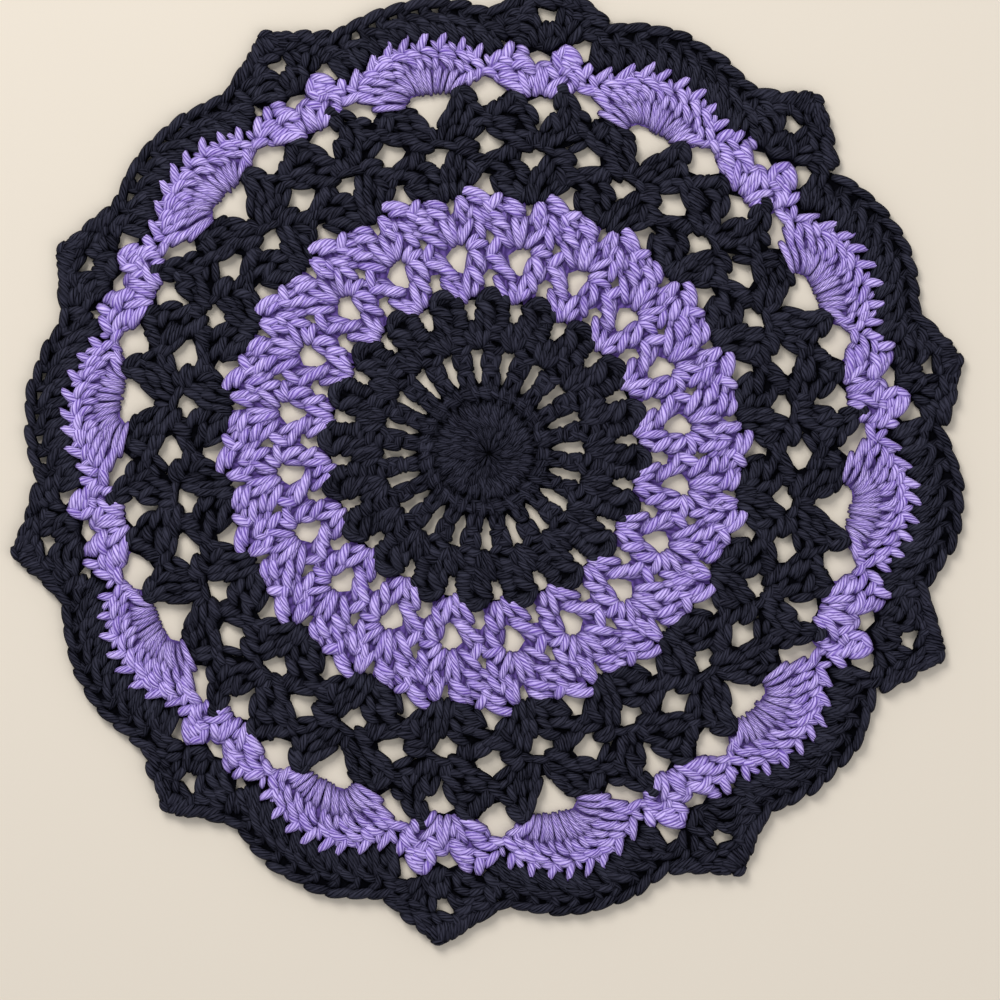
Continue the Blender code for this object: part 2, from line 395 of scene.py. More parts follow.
def yarn_material(name, deep, middle, light, grooved, sheen, roughness, gloss):
    """Plied cotton. deep, middle, light: painted shade between strands, the colour on a strand, and
    a painted highlight on the plies that catch most light. grooved: how clearly its plies part,
    beside the fibres, in the bump and as painted shade in the colour. The bump's height and the
    tone are weighted sums of a ridge on each ply (the sine of its phase, made positive) and of the
    fibres, and the strand's own random shade joins the tone."""
    material = bpy.data.materials.new(name)
    material.use_nodes = True
    tree = material.node_tree
    shader = tree.nodes["Principled BSDF"]
    phase, along = ply_phase(tree)

    streaks = tree.nodes.new("ShaderNodeCombineXYZ")
    tree.links.new(maths(tree, "MULTIPLY", phase, FIBRE_ACROSS), streaks.inputs[0])
    tree.links.new(maths(tree, "MULTIPLY", along, FIBRE_ALONG), streaks.inputs[1])
    shade = tree.nodes.new("ShaderNodeAttribute")
    shade.attribute_name = "shade"
    own_place = maths(tree, "MULTIPLY", shade.outputs["Fac"], STRAND_APART)
    tree.links.new(own_place, streaks.inputs[2])
    fibres = node(tree, "ShaderNodeTexNoise", Scale=1.4, Detail=3.0, Roughness=0.65)
    waver = node(tree, "ShaderNodeTexNoise", Scale=0.4, Detail=1.0)
    tree.links.new(streaks.outputs[0], fibres.inputs["Vector"])
    tree.links.new(streaks.outputs[0], waver.inputs["Vector"])

    ply = maths(tree, "MULTIPLY_ADD", waver.outputs["Fac"], PLY_WAVER, phase)
    ridge = maths(tree, "ABSOLUTE", maths(tree, "SINE", maths(tree, "MULTIPLY", ply, math.pi)))

    height = maths(tree, "MULTIPLY", ridge, grooved)
    height = maths(tree, "MULTIPLY_ADD", fibres.outputs["Fac"], 0.9, height)
    bump = node(tree, "ShaderNodeBump", Strength=1.0, Distance=GROOVE_DEPTH)
    tree.links.new(height, bump.inputs["Height"])
    tree.links.new(bump.outputs[0], shader.inputs["Normal"])

    # painted highlight and shade: ply ridges are coloured lighter and their grooves darker; the
    # fibres and each strand's random tone add the rest
    tone = maths(tree, "MULTIPLY_ADD", ridge, 0.5 * grooved, -0.32 * grooved)
    tone = maths(tree, "MULTIPLY_ADD", shade.outputs["Fac"], 0.14, tone)
    tone = maths(tree, "MULTIPLY_ADD", fibres.outputs["Fac"], 0.90, tone)
    ramp = tree.nodes.new("ShaderNodeValToRGB")
    ramp.color_ramp.elements[0].position = TONE_DARK
    ramp.color_ramp.elements[0].color = (*middle, 1)
    ramp.color_ramp.elements[1].position = TONE_LIGHT
    ramp.color_ramp.elements[1].color = (*light, 1)
    tree.links.new(tone, ramp.inputs["Fac"])
    # painted shade: low down between the strands the colour turns to the deep one
    lit = tree.nodes.new("ShaderNodeMix")
    lit.data_type = "RGBA"
    tree.links.new(lit_height(tree), lit.inputs["Factor"])
    lit.inputs["A"].default_value = (*deep, 1)
    tree.links.new(ramp.outputs["Color"], lit.inputs["B"])
    tree.links.new(lit.outputs["Result"], shader.inputs["Base Color"])

    shader.inputs["Roughness"].default_value = roughness
    shader.inputs["Specular IOR Level"].default_value = gloss
    shader.inputs["Sheen Weight"].default_value = sheen
    shader.inputs["Sheen Roughness"].default_value = 0.45
    return material


# deep is painted shade between the strands, light a painted highlight on the ply ridges
BLACK_YARN = yarn_material(
    "black_yarn_cotton", srgb(0, 0, 3), srgb(1, 1, 6), srgb(54, 54, 68), 0.6, 0.0, 0.6, 0.03
)
LILAC_YARN = yarn_material(
    "lilac_yarn_cotton", srgb(70, 46, 120), srgb(118, 88, 184), srgb(211, 191, 251), 0.9, 0.04,
    0.65, 0.25
)
print("materials:", BLACK_YARN.name, LILAC_YARN.name)

# %% [markdown]
# ## From arrays to a piece
#
# All strands of a round go into one mesh. The arrays are handed over whole, which takes a
# fraction of a second where a loop over faces would take minutes. Every piece rides on the
# doily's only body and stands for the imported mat, which then no longer shows.


def make_piece(name, bundles, material):
    """One mesh object from bundles of strands: corners and faces joined end to end, smooth, with
    the UV map "yarn" and the attribute "shade"."""
    corners, faces, uv, shade = zip(*bundles)
    starts = np.cumsum([0] + [len(part) for part in corners[:-1]])
    faces = np.concatenate([part + start for part, start in zip(faces, starts)])
    corners, uv, shade = np.concatenate(corners) * MM, np.concatenate(uv), np.concatenate(shade)

    mesh = bpy.data.meshes.new(name)
    mesh.vertices.add(len(corners))
    mesh.vertices.foreach_set("co", corners.astype(np.float32).ravel())
    mesh.loops.add(faces.size)
    mesh.loops.foreach_set("vertex_index", faces.astype(np.int32).ravel())
    mesh.polygons.add(len(faces))
    mesh.polygons.foreach_set("loop_start", np.arange(0, faces.size, 4, dtype=np.int32))
    mesh.update(calc_edges=True)
    mesh.uv_layers.new(name="yarn").data.foreach_set("uv", uv.astype(np.float32).ravel())
    mesh.attributes.new("shade", "FLOAT", "POINT").data.foreach_set(
        "value", shade.astype(np.float32)
    )
    mesh.shade_smooth()
    mesh.materials.append(material)
    piece = bpy.data.objects.new(name, mesh)
    bpy.context.collection.objects.link(piece)
    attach(piece, "root")
    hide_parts("doily")
    print(f"{name}: {len(corners) // (len(PART) * SIDES)} strands, {2 * len(faces)} triangles")
    return piece


def worked(table, count, first, rng, fit=None):
    """The bundle of a table of strands repeated `count` times round the doily."""
    turns = first + 360 / count * np.arange(count)
    return strand_bundle(*strand_courses(table, turns, rng, fit), rng)


# %% [markdown]
# ## The black middle
#
# A ring of trebles is worked into one small loop, so their feet crowd and pile up. The second
# round spreads the same twenty into spokes with slits between, and the third puts a pair over
# each slit, which makes the disc nearly closed again.
#
# In every table, `across` is millimetres clockwise from the middle of the motif and `radius` is
# millimetres from the middle of the doily. A motif is written down once and worked all round.

# %% Rounds one to three
rng = np.random.default_rng(11)
RING_REPEATS = 20                       # motifs in each ring inside the fans
SPOKE_TURN, PAIR_TURN = 11.3, 4.9       # degrees from +X to the first motif of a ring

CENTRE = strand_rows(
    (0.0, 0.9, 0.1, 5.0, 1.2, 0, 0, 0.4, 1.0), (0.5, 3.4, 0.7, 8.0, 1.7, 0, 0, 0.7, 1.0),
    (-0.6, 4.2, -0.5, 9.2, 1.7, 0, 0, 0.7, 1.0), (-0.3, 7.6, -1.2, 12.4, 1.9),
    (0.9, 7.4, 0.4, 12.0, 1.8), (1.5, 9.2, 1.8, 14.4, 1.9), (-1.6, 10.0, -1.9, 14.8, 1.9),
    (-0.2, 10.8, 0.2, 15.1, 1.9), (0.8, 11.4, 2.3, 14.8, 1.7, 0.2),
    (-2.0, 16.7, 1.2, 16.1, 1.9, 0.2, 1), (1.0, 13.6, 1.5, 17.4, 1.7, 0, 1),
    (-1.3, 13.8, -1.6, 17.2, 1.7, 0, 1), (-2.8, 17.9, 0.6, 16.7, 2.3, 0.3),
)
skin = worked(CENTRE, RING_REPEATS, SPOKE_TURN, rng)
make_piece("centre_round", [skin], BLACK_YARN)

SPOKE = strand_rows(
    (-1.6, 16.6, -1.5, 20.6, 2.2), (1.3, 16.6, 1.4, 20.4, 2.2), (-0.2, 17.4, 0.3, 22.2, 2.2, 0, 1),
    (-3.0, 19.2, 0.2, 18.0, 2.2, 0.3), (0.6, 19.0, 3.0, 17.4, 2.0), (-1.5, 20.6, -1.4, 25.0, 2.1),
    (1.1, 20.4, 1.4, 24.6, 2.1), (-1.9, 24.8, 1.5, 23.6, 2.1, 0.2),
    (-1.6, 26.8, 1.9, 25.8, 2.2, 0.2), (-1.7, 26.2, -2.0, 30.6, 2.3), (1.6, 25.4, 2.0, 30.2, 2.3),
    (-0.1, 26.8, 0.1, 31.4, 2.4, 0, 1), (-2.3, 29.8, 0.6, 28.6, 2.3, 0.3),
    (-0.6, 28.0, 2.0, 29.4, 2.2), (-3.0, 32.4, 0.6, 31.4, 2.4, 0.5),
    (-0.2, 30.6, 3.2, 32.4, 2.4, -0.4), (-2.2, 31.4, -1.6, 34.2, 2.2, 0, 1),
)
skin = worked(SPOKE, RING_REPEATS, SPOKE_TURN, rng)
make_piece("spoke_round", [skin], BLACK_YARN)

PAIR = strand_rows(
    (0.8, 32.0, -2.4, 38.2, 2.4, 0.3), (1.6, 31.8, 0.2, 38.0, 2.3), (2.3, 32.0, 2.6, 38.4, 2.4),
    (3.0, 32.4, 5.2, 37.8, 2.4, -0.3), (-6.0, 35.6, -2.0, 34.4, 2.5, 0.4),
    (-0.4, 34.0, -3.8, 36.8, 2.2, 0, 1), (-6.6, 38.0, -2.4, 37.4, 2.4, 0.3),
    (3.6, 34.0, 6.0, 36.6, 2.2, 0, 1), (-7.4, 36.8, -5.4, 33.6, 2.2, 0, 1),
    (0.0, 40.2, 0.4, 35.6, 2.3), (1.8, 40.2, 3.2, 36.0, 2.4), (-5.8, 46.2, -2.4, 45.2, 2.3, 0.3),
    (-5.6, 44.2, -2.0, 43.2, 2.3, 0.3), (-5.2, 42.0, -1.5, 41.2, 2.3, 0.3),
    (-4.8, 40.0, -0.9, 39.2, 2.3, 0.3), (-3.8, 46.4, -3.4, 38.8, 2.4, 0, 1),
    (2.4, 46.2, 6.6, 41.0, 3.0, 0.8), (2.3, 43.6, 3.4, 39.6, 2.2), (4.0, 41.4, 5.6, 36.6, 2.6, 0.3),
    (3.8, 44.4, 4.8, 39.6, 2.4, 0, 1), (6.9, 44.8, 7.5, 40.2, 2.1, 0, 1),
    (6.6, 40.0, 5.8, 36.0, 2.3, 0, 1), (3.4, 47.4, 10.8, 47.6, 2.7, 2.5),
    (4.2, 46.6, 10.2, 46.8, 2.3, 1.4, 1), (2.6, 46.6, 4.4, 49.0, 2.0),
    (10.8, 48.4, 12.2, 46.8, 2.0),
)
skin = worked(PAIR, RING_REPEATS, PAIR_TURN, rng)
make_piece("cluster_round", [skin], BLACK_YARN)

# %% [markdown]
# ## The lilac star
#
# The yarn changes to lilac. Two trebles rise from each space as a V, with a chain from head to
# head, and the next round fills every V with a shell of four. The shells lean on each other and
# part again at their tops, where a small notch is left between two of them.

# %% Rounds four and five
STAR_TURN = 9.4         # degrees from +X to the first V, shell and black shell

LILAC_V = strand_rows(
    (3.0, 47.6, 4.4, 56.4, 2.4), (1.2, 47.3, -4.2, 54.4, 2.4), (2.2, 46.8, 1.0, 50.6, 2.0),
    (0.0, 52.9, 2.4, 49.6, 1.9), (5.8, 57.2, 8.3, 52.2, 2.6), (4.8, 48.4, 6.5, 52.4, 2.1),
    (6.2, 62.3, 8.8, 56.8, 2.8, 0.8), (9.6, 60.3, 9.2, 55.6, 1.8, 0, 1),
    (-7.8, 60.2, -2.6, 58.2, 2.6), (-4.8, 57.8, 0.8, 55.3, 2.7, 0.3),
    (-3.0, 55.2, 1.8, 53.9, 2.1, 0.2, 1), (-5.0, 62.6, -0.6, 57.0, 2.1, 0, 1),
    (5.8, 62.9, 11.3, 64.4, 2.4, 0.3), (-7.6, 61.0, -5.7, 66.0, 2.7),
    (-3.8, 53.4, -1.4, 50.4, 2.0, 0, 1), (4.6, 56.6, 5.6, 61.4, 2.0, 0, 1),
    (10.4, 63.6, 13.6, 60.6, 2.2, 0.2, 1),
)
skin = worked(LILAC_V, RING_REPEATS, STAR_TURN, rng)
make_piece("lilac_v_round", [skin], LILAC_YARN)

LILAC_SHELL = strand_rows(
    (-1.3, 63.8, -8.0, 69.3, 2.5), (-10.5, 74.8, -5.0, 72.3, 2.5, 0.3),
    (-8.2, 71.6, -3.1, 69.6, 2.5, 0.3), (0.9, 64.2, -2.4, 73.6, 2.4),
    (-0.6, 65.0, -3.6, 70.8, 1.9, 0, 1), (1.7, 64.6, 1.3, 73.8, 2.2), (3.4, 64.5, 8.0, 72.2, 2.2),
    (2.9, 65.5, 4.3, 70.4, 1.9, 0, 1), (5.2, 63.7, 8.9, 67.2, 2.2), (4.0, 76.0, 5.9, 70.7, 2.2),
    (4.9, 79.6, 6.7, 74.8, 2.4), (8.0, 76.0, 7.0, 72.8, 1.8), (8.8, 75.7, 11.4, 70.9, 2.6),
    (8.8, 71.3, 10.6, 66.6, 2.5), (4.8, 81.8, 13.8, 78.2, 2.7, 1.4),
    (7.6, 79.2, 12.4, 77.2, 2.4, 0.6), (13.2, 76.4, 17.2, 80.2, 2.8),
    (-6.6, 79.3, -3.8, 77.2, 1.9, 0, 1), (-6.0, 76.2, -0.2, 73.6, 2.8, 0.6),
    (-5.5, 75.0, -4.7, 72.5, 1.8, 0, 1), (-5.0, 79.2, 0.2, 76.2, 2.4, 0.4),
    (4.3, 79.6, 2.9, 72.8, 2.2, 0.2), (-11.8, 78.0, -9.4, 74.6, 2.4),
    (-9.4, 77.6, -6.0, 75.6, 2.2, 0.2, 1), (-11.0, 71.6, -8.4, 69.4, 2.2, 0, 1),
    (-1.8, 75.6, 0.8, 72.2, 2.1, 0, 1), (6.4, 74.2, 8.2, 70.0, 2.2, 0, 1),
    (3.9, 79.8, 5.6, 76.2, 2.2, 0, 1), (11.0, 75.2, 13.2, 72.2, 2.2, 0, 1),
)
skin = worked(LILAC_SHELL, RING_REPEATS, STAR_TURN, rng)
make_piece("lilac_shell_round", [skin], LILAC_YARN)

# %% [markdown]
# ## Two rounds of black shells
#
# These shells are open: a chain parts the two trebles on its left from the two on its right, and
# leaves a small hole. Neighbours touch only at their shoulders, which leaves the diamonds
# between the rounds. The shells of the outer round take turns: a wider one stands under each
# fan and a taller one under each point, so each of the two has a table of its own.

# %% Round six
OPEN_SHELL = strand_rows(
    (-6.6, 81.0, -1.4, 80.0, 2.4, 0.3), (-1.4, 79.2, 0.0, 84.4, 2.3), (0.7, 79.0, 0.9, 85.8, 2.4),
    (2.7, 79.2, 3.0, 85.2, 2.4), (4.4, 80.2, 6.6, 85.0, 2.4), (-9.4, 83.6, -3.4, 81.8, 2.4, 0.3),
    (-4.2, 84.6, -0.8, 81.0, 2.4), (-10.8, 85.6, -4.6, 83.8, 2.3, 0.2),
    (-9.9, 86.5, -4.8, 86.9, 2.8, 0.5), (-4.4, 88.8, -0.6, 85.0, 2.5), (0.8, 84.6, 1.5, 90.0, 2.4),
    (3.0, 84.2, 4.2, 89.6, 2.5), (-12.6, 89.0, -6.6, 87.5, 2.5, 0.4),
    (-6.6, 91.3, -1.6, 89.6, 2.6, 0.3), (-4.4, 88.9, -0.4, 88.3, 2.3, 0.8),
    (2.4, 88.4, 4.4, 94.2, 2.5), (5.0, 88.4, 6.4, 93.8, 2.4), (5.4, 86.0, 8.0, 91.4, 2.3, 0, 1),
    (8.6, 91.2, 9.9, 86.0, 2.9, 0.4), (7.0, 84.2, 8.6, 88.2, 2.3), (8.8, 83.8, 11.8, 87.2, 2.3),
    (5.2, 95.0, 12.6, 95.2, 2.6, 1.5), (6.0, 93.2, 12.0, 94.2, 2.3, 0.6),
    (9.4, 92.4, 15.2, 91.8, 2.6), (10.6, 89.8, 15.0, 90.0, 2.5), (11.2, 87.4, 13.8, 89.4, 2.3),
    (-13.8, 92.0, -9.0, 94.8, 2.6), (-9.4, 91.4, -7.6, 96.0, 2.5), (-7.2, 91.8, -6.0, 96.2, 2.4),
    (-5.4, 91.4, -4.7, 95.2, 2.3, 0, 1), (-8.2, 80.6, -11.6, 86.2, 1.9, 0.2, 0.5),
    (-14.8, 89.8, -11.0, 91.2, 2.5), (-12.0, 91.0, -9.6, 92.6, 2.2, 0, 1),
    (-7.6, 97.2, -1.4, 96.2, 2.6, 0.4), (-6.4, 95.5, -1.8, 95.4, 2.1, 0.2, 1),
    (-2.0, 97.4, 3.4, 96.6, 2.3, 0.6), (2.6, 97.0, 6.2, 95.4, 2.3, 0.3),
)
skin = worked(OPEN_SHELL, RING_REPEATS, STAR_TURN, rng)
make_piece("inner_black_shells", [skin], BLACK_YARN)

# %% Round seven
REPEATS = 10            # fans, and points between them, once round
UNDER_POINT_TURN, UNDER_FAN_TURN = 10.3, 28.3       # degrees from +X to the first of each
UNDER_POINT = strand_rows(
    (-6.6, 97.9, -1.2, 96.9, 2.4, 0.3), (-9.4, 99.7, -3.2, 98.2, 2.4, 0.3),
    (1.2, 97.0, 1.9, 101.8, 2.4), (-0.7, 97.2, -0.2, 102.0, 2.3), (3.3, 96.6, 4.6, 101.8, 2.4),
    (5.6, 96.9, 7.4, 102.0, 2.4), (7.6, 98.8, 9.8, 103.4, 2.4), (-5.0, 101.0, 0.4, 99.6, 2.3, 0.3),
    (-11.9, 102.8, -5.8, 100.8, 2.5, 0.3), (-13.7, 105.2, -5.8, 102.6, 2.6, 0.5),
    (-3.8, 104.6, 1.2, 101.4, 2.5), (-3.5, 109.9, 0.0, 104.6, 2.5, 0.5),
    (-4.6, 106.0, -0.8, 103.6, 2.4), (-8.5, 107.3, -3.6, 107.3, 2.8, 0.6),
    (-9.4, 104.9, -5.2, 104.3, 2.2, 0, 1), (-14.9, 106.0, -13.0, 109.8, 2.4),
    (-12.6, 105.6, -11.2, 110.4, 2.6), (-10.4, 107.8, -9.3, 113.2, 2.4),
    (-8.4, 109.2, -7.6, 113.6, 2.3), (-8.7, 113.9, -3.8, 110.4, 2.5, 0.8),
    (-7.4, 111.2, -4.4, 108.6, 2.3, 0, 1), (3.0, 102.4, 4.4, 107.6, 2.5),
    (5.2, 108.2, 7.2, 103.2, 2.8, 0.4), (5.4, 101.2, 7.8, 105.4, 2.3, 0, 1),
    (8.4, 104.6, 9.2, 110.8, 2.5), (6.6, 107.8, 8.4, 111.2, 2.3), (6.2, 110.8, 5.8, 116.0, 2.5),
    (4.8, 115.8, 8.8, 115.8, 2.8, 1.5), (6.0, 115.0, 9.4, 114.2, 2.2, 0.2, 1),
    (8.2, 110.8, 7.8, 115.0, 2.4), (8.8, 115.2, 12.7, 111.2, 2.6, 0.4),
    (10.4, 111.6, 12.8, 108.2, 2.3, 0, 1), (11.0, 108.4, 12.6, 103.6, 2.9, 0.3),
    (9.6, 101.8, 11.2, 106.2, 2.3), (12.6, 110.6, 16.2, 109.2, 2.5, 0.3),
    (13.2, 107.2, 16.0, 105.6, 2.4), (10.8, 101.6, 14.2, 103.0, 2.2),
    (13.4, 104.6, 17.4, 103.6, 2.4, 0.3), (-17.0, 104.4, -12.8, 102.4, 2.4, 0.3),
    (-16.8, 106.4, -13.2, 104.2, 2.3, 0.3), (-13.6, 102.0, -9.0, 99.6, 2.2),
    (11.8, 98.6, 16.8, 102.0, 2.3), (-16.2, 107.6, -14.0, 105.0, 2.2, 0, 1),
    (-12.0, 111.0, -9.6, 109.2, 2.2, 0, 1),
)
UNDER_FAN = strand_rows(
    (-6.0, 98.3, -0.4, 96.6, 2.3, 0.3), (-8.8, 100.3, -2.4, 98.0, 2.4, 0.3),
    (-5.6, 102.6, 0.6, 98.9, 2.4, 0.3), (1.0, 98.4, 0.9, 102.4, 2.2), (2.9, 98.2, 5.4, 104.0, 2.4),
    (4.9, 97.6, 8.0, 102.8, 2.4), (7.2, 97.5, 11.6, 98.9, 2.3), (-4.9, 105.2, 1.2, 100.8, 2.4, 0.6),
    (-3.9, 107.6, -0.8, 103.2, 2.4, 0.2), (-9.7, 103.0, -4.0, 100.0, 2.5),
    (-13.8, 103.6, -8.4, 101.6, 2.6), (-8.8, 105.6, -4.8, 103.0, 2.4),
    (-10.6, 108.8, -5.4, 106.4, 2.5), (-5.4, 108.0, -2.6, 105.6, 2.3),
    (-9.5, 109.4, -3.2, 108.8, 2.2, 0.4, 1), (-15.2, 106.0, -13.2, 109.6, 2.5),
    (-13.0, 104.6, -11.0, 109.2, 2.4), (-12.2, 106.8, -9.4, 104.4, 2.2, 0, 1),
    (3.2, 102.8, 6.8, 108.2, 2.4), (6.4, 106.2, 9.5, 112.4, 2.5),
    (5.6, 102.2, 8.2, 106.6, 2.3, 0, 1), (7.8, 103.2, 10.4, 107.8, 2.5),
    (9.8, 107.4, 10.8, 114.0, 2.6), (8.2, 99.8, 11.2, 103.6, 2.4), (10.4, 102.0, 12.6, 106.4, 2.5),
    (12.8, 104.2, 13.6, 109.0, 2.6), (10.6, 114.8, 15.2, 110.6, 2.7, 0.7),
    (8.6, 111.6, 11.4, 115.2, 2.3, 0.4), (11.6, 112.6, 14.0, 110.0, 2.3),
    (11.2, 99.6, 13.6, 103.2, 2.3), (12.0, 107.8, 14.8, 110.6, 2.3, 0, 1),
    (-16.0, 109.2, -13.8, 106.6, 2.2, 0, 1), (14.0, 109.6, 16.8, 107.0, 2.4),
    (13.2, 103.0, 17.0, 104.6, 2.4), (-17.2, 105.4, -13.0, 103.4, 2.4, 0.3),
    (-15.4, 102.8, -11.8, 101.6, 2.3, 0.3), (-13.2, 101.8, -8.6, 99.8, 2.2),
    (12.0, 98.8, 17.0, 102.0, 2.3), (-13.4, 110.6, -9.6, 109.4, 2.2, 0, 1),
)
skins = [
    worked(UNDER_POINT, REPEATS, UNDER_POINT_TURN, rng),
    worked(UNDER_FAN, REPEATS, UNDER_FAN_TURN, rng),
]
make_piece("outer_black_shells", skins, BLACK_YARN)

# %% [markdown]
# ## Lilac fans and little V shells
#
# Many trebles crowd into every other chain and open into a fan. Between fans stands a shell of
# four whose arms part round an eye. Only the pointed fronts of the fan's heads are left showing
# when the black edging is worked between them.
#
# A fan is built in tiers, from the outside in: the teeth, the loops behind them, two tiers of
# heads that lean on each other, the slanting ropes on its left, and thin posts that run down
# into the one space they share. Every second post stands a little proud of its neighbours.

# %% Round eight, the little shells
V_SHELL = strand_rows(
    (-4.6, 113.6, -12.6, 117.6, 2.9, -0.8), (-2.9, 113.2, -7.2, 121.9, 2.4),
    (-2.9, 115.6, -2.6, 119.8, 2.0), (-0.9, 113.6, -0.2, 123.6, 2.4), (0.9, 114.4, 1.0, 124.4, 2.2),
    (1.8, 113.6, 7.5, 121.9, 2.5, 0.8), (3.5, 113.4, 6.3, 118.2, 2.3),
    (1.6, 124.3, 4.8, 120.6, 2.7), (3.4, 129.0, 5.0, 124.0, 2.8), (5.2, 122.9, 6.9, 125.3, 2.0),
    (3.6, 127.8, 6.3, 131.8, 2.7), (6.0, 131.8, 11.2, 127.6, 2.8, 0.6),
    (5.8, 129.6, 9.6, 126.6, 2.6, 0.3), (8.2, 126.8, 11.8, 125.2, 2.6),
    (7.9, 123.6, 10.4, 118.6, 2.5, 1.2), (8.4, 119.6, 9.8, 117.0, 2.3),
    (11.8, 119.2, 17.8, 119.8, 2.5, -0.3), (12.6, 122.8, 14.6, 127.8, 2.8),
    (15.2, 124.0, 16.7, 120.8, 2.1), (-16.8, 123.4, -13.9, 128.4, 2.7),
    (-11.8, 125.8, -10.9, 130.8, 2.8), (-9.0, 128.6, -2.4, 122.6, 2.5, 0.6, 1),
    (-10.0, 123.0, -2.2, 121.5, 2.8, 1.8), (-6.0, 123.6, -2.4, 120.9, 2.3),
    (-17.0, 121.6, -9.0, 120.6, 2.5, 1.0), (-12.6, 120.2, -7.0, 118.6, 2.8),
    (-14.2, 119.8, -13.0, 117.6, 1.7, 0, 1), (-5.6, 117.0, -4.4, 120.6, 2.2, 0, 1),
    (-9.0, 126.4, -5.0, 125.0, 2.4, 0.4), (-14.2, 125.6, -9.6, 124.0, 2.4, 0.4),
    (5.2, 126.8, 8.6, 125.0, 2.4, 0.3), (6.6, 122.8, 9.0, 124.8, 2.2, 0, 1),
    (10.4, 125.4, 13.0, 121.8, 2.4, 0.2), (11.4, 121.4, 13.8, 118.8, 2.2, 0, 1),
    (-8.6, 130.0, -5.4, 128.2, 2.2, 0.2, 1), (-19.0, 120.6, -14.6, 119.8, 2.4, 0.4),
    (-11.8, 118.0, -7.6, 116.2, 2.3, 0.3, 1), (-3.0, 121.8, -0.6, 124.8, 2.2, 0, 1),
    (-1.0, 124.9, 2.6, 125.0, 2.0, 0.3, 1),
)
SHELL_LIE = np.array((      # how far the ten tops lie off the pattern: mm clockwise, mm outwards
    (-2.5, -1.0), (-3.8, -1.6), (-1.5, -1.7), (0.3, -2.2), (0.2, -1.8),
    (1.2, -1.4), (0.8, -3.2), (-0.2, -0.6), (-2.2, -3.3), (-2.9, -0.2),
))
SHELL_FOOT, SHELL_TOP, POINT_TIP = 113.0, 131.0, 153.0      # radii, mm
SHELL_HALF, SHELL_FADE = 22.0, 8.0      # mm across where nothing moves, and over which it fades


def fit_shell(ends):
    """Strand ends moved with the top of their own shell: not at all at its foot, fully at its top,
    then less and less towards the tip of the point above, and not at all beside it."""
    across, radius = ends[..., 0], ends[..., 1]
    share = np.interp(radius, (SHELL_FOOT, SHELL_TOP, POINT_TIP), (0, 1, 0))
    share = share * np.clip((SHELL_HALF - np.abs(across)) / SHELL_FADE, 0, 1)
    return ends + share[..., None] * SHELL_LIE[:, None]


shell_way = np.hypot(SHELL_LIE[:, 0], SHELL_LIE[:, 1]).max()
print("a little shell lies up to", round(float(shell_way), 1), "mm off the pattern")

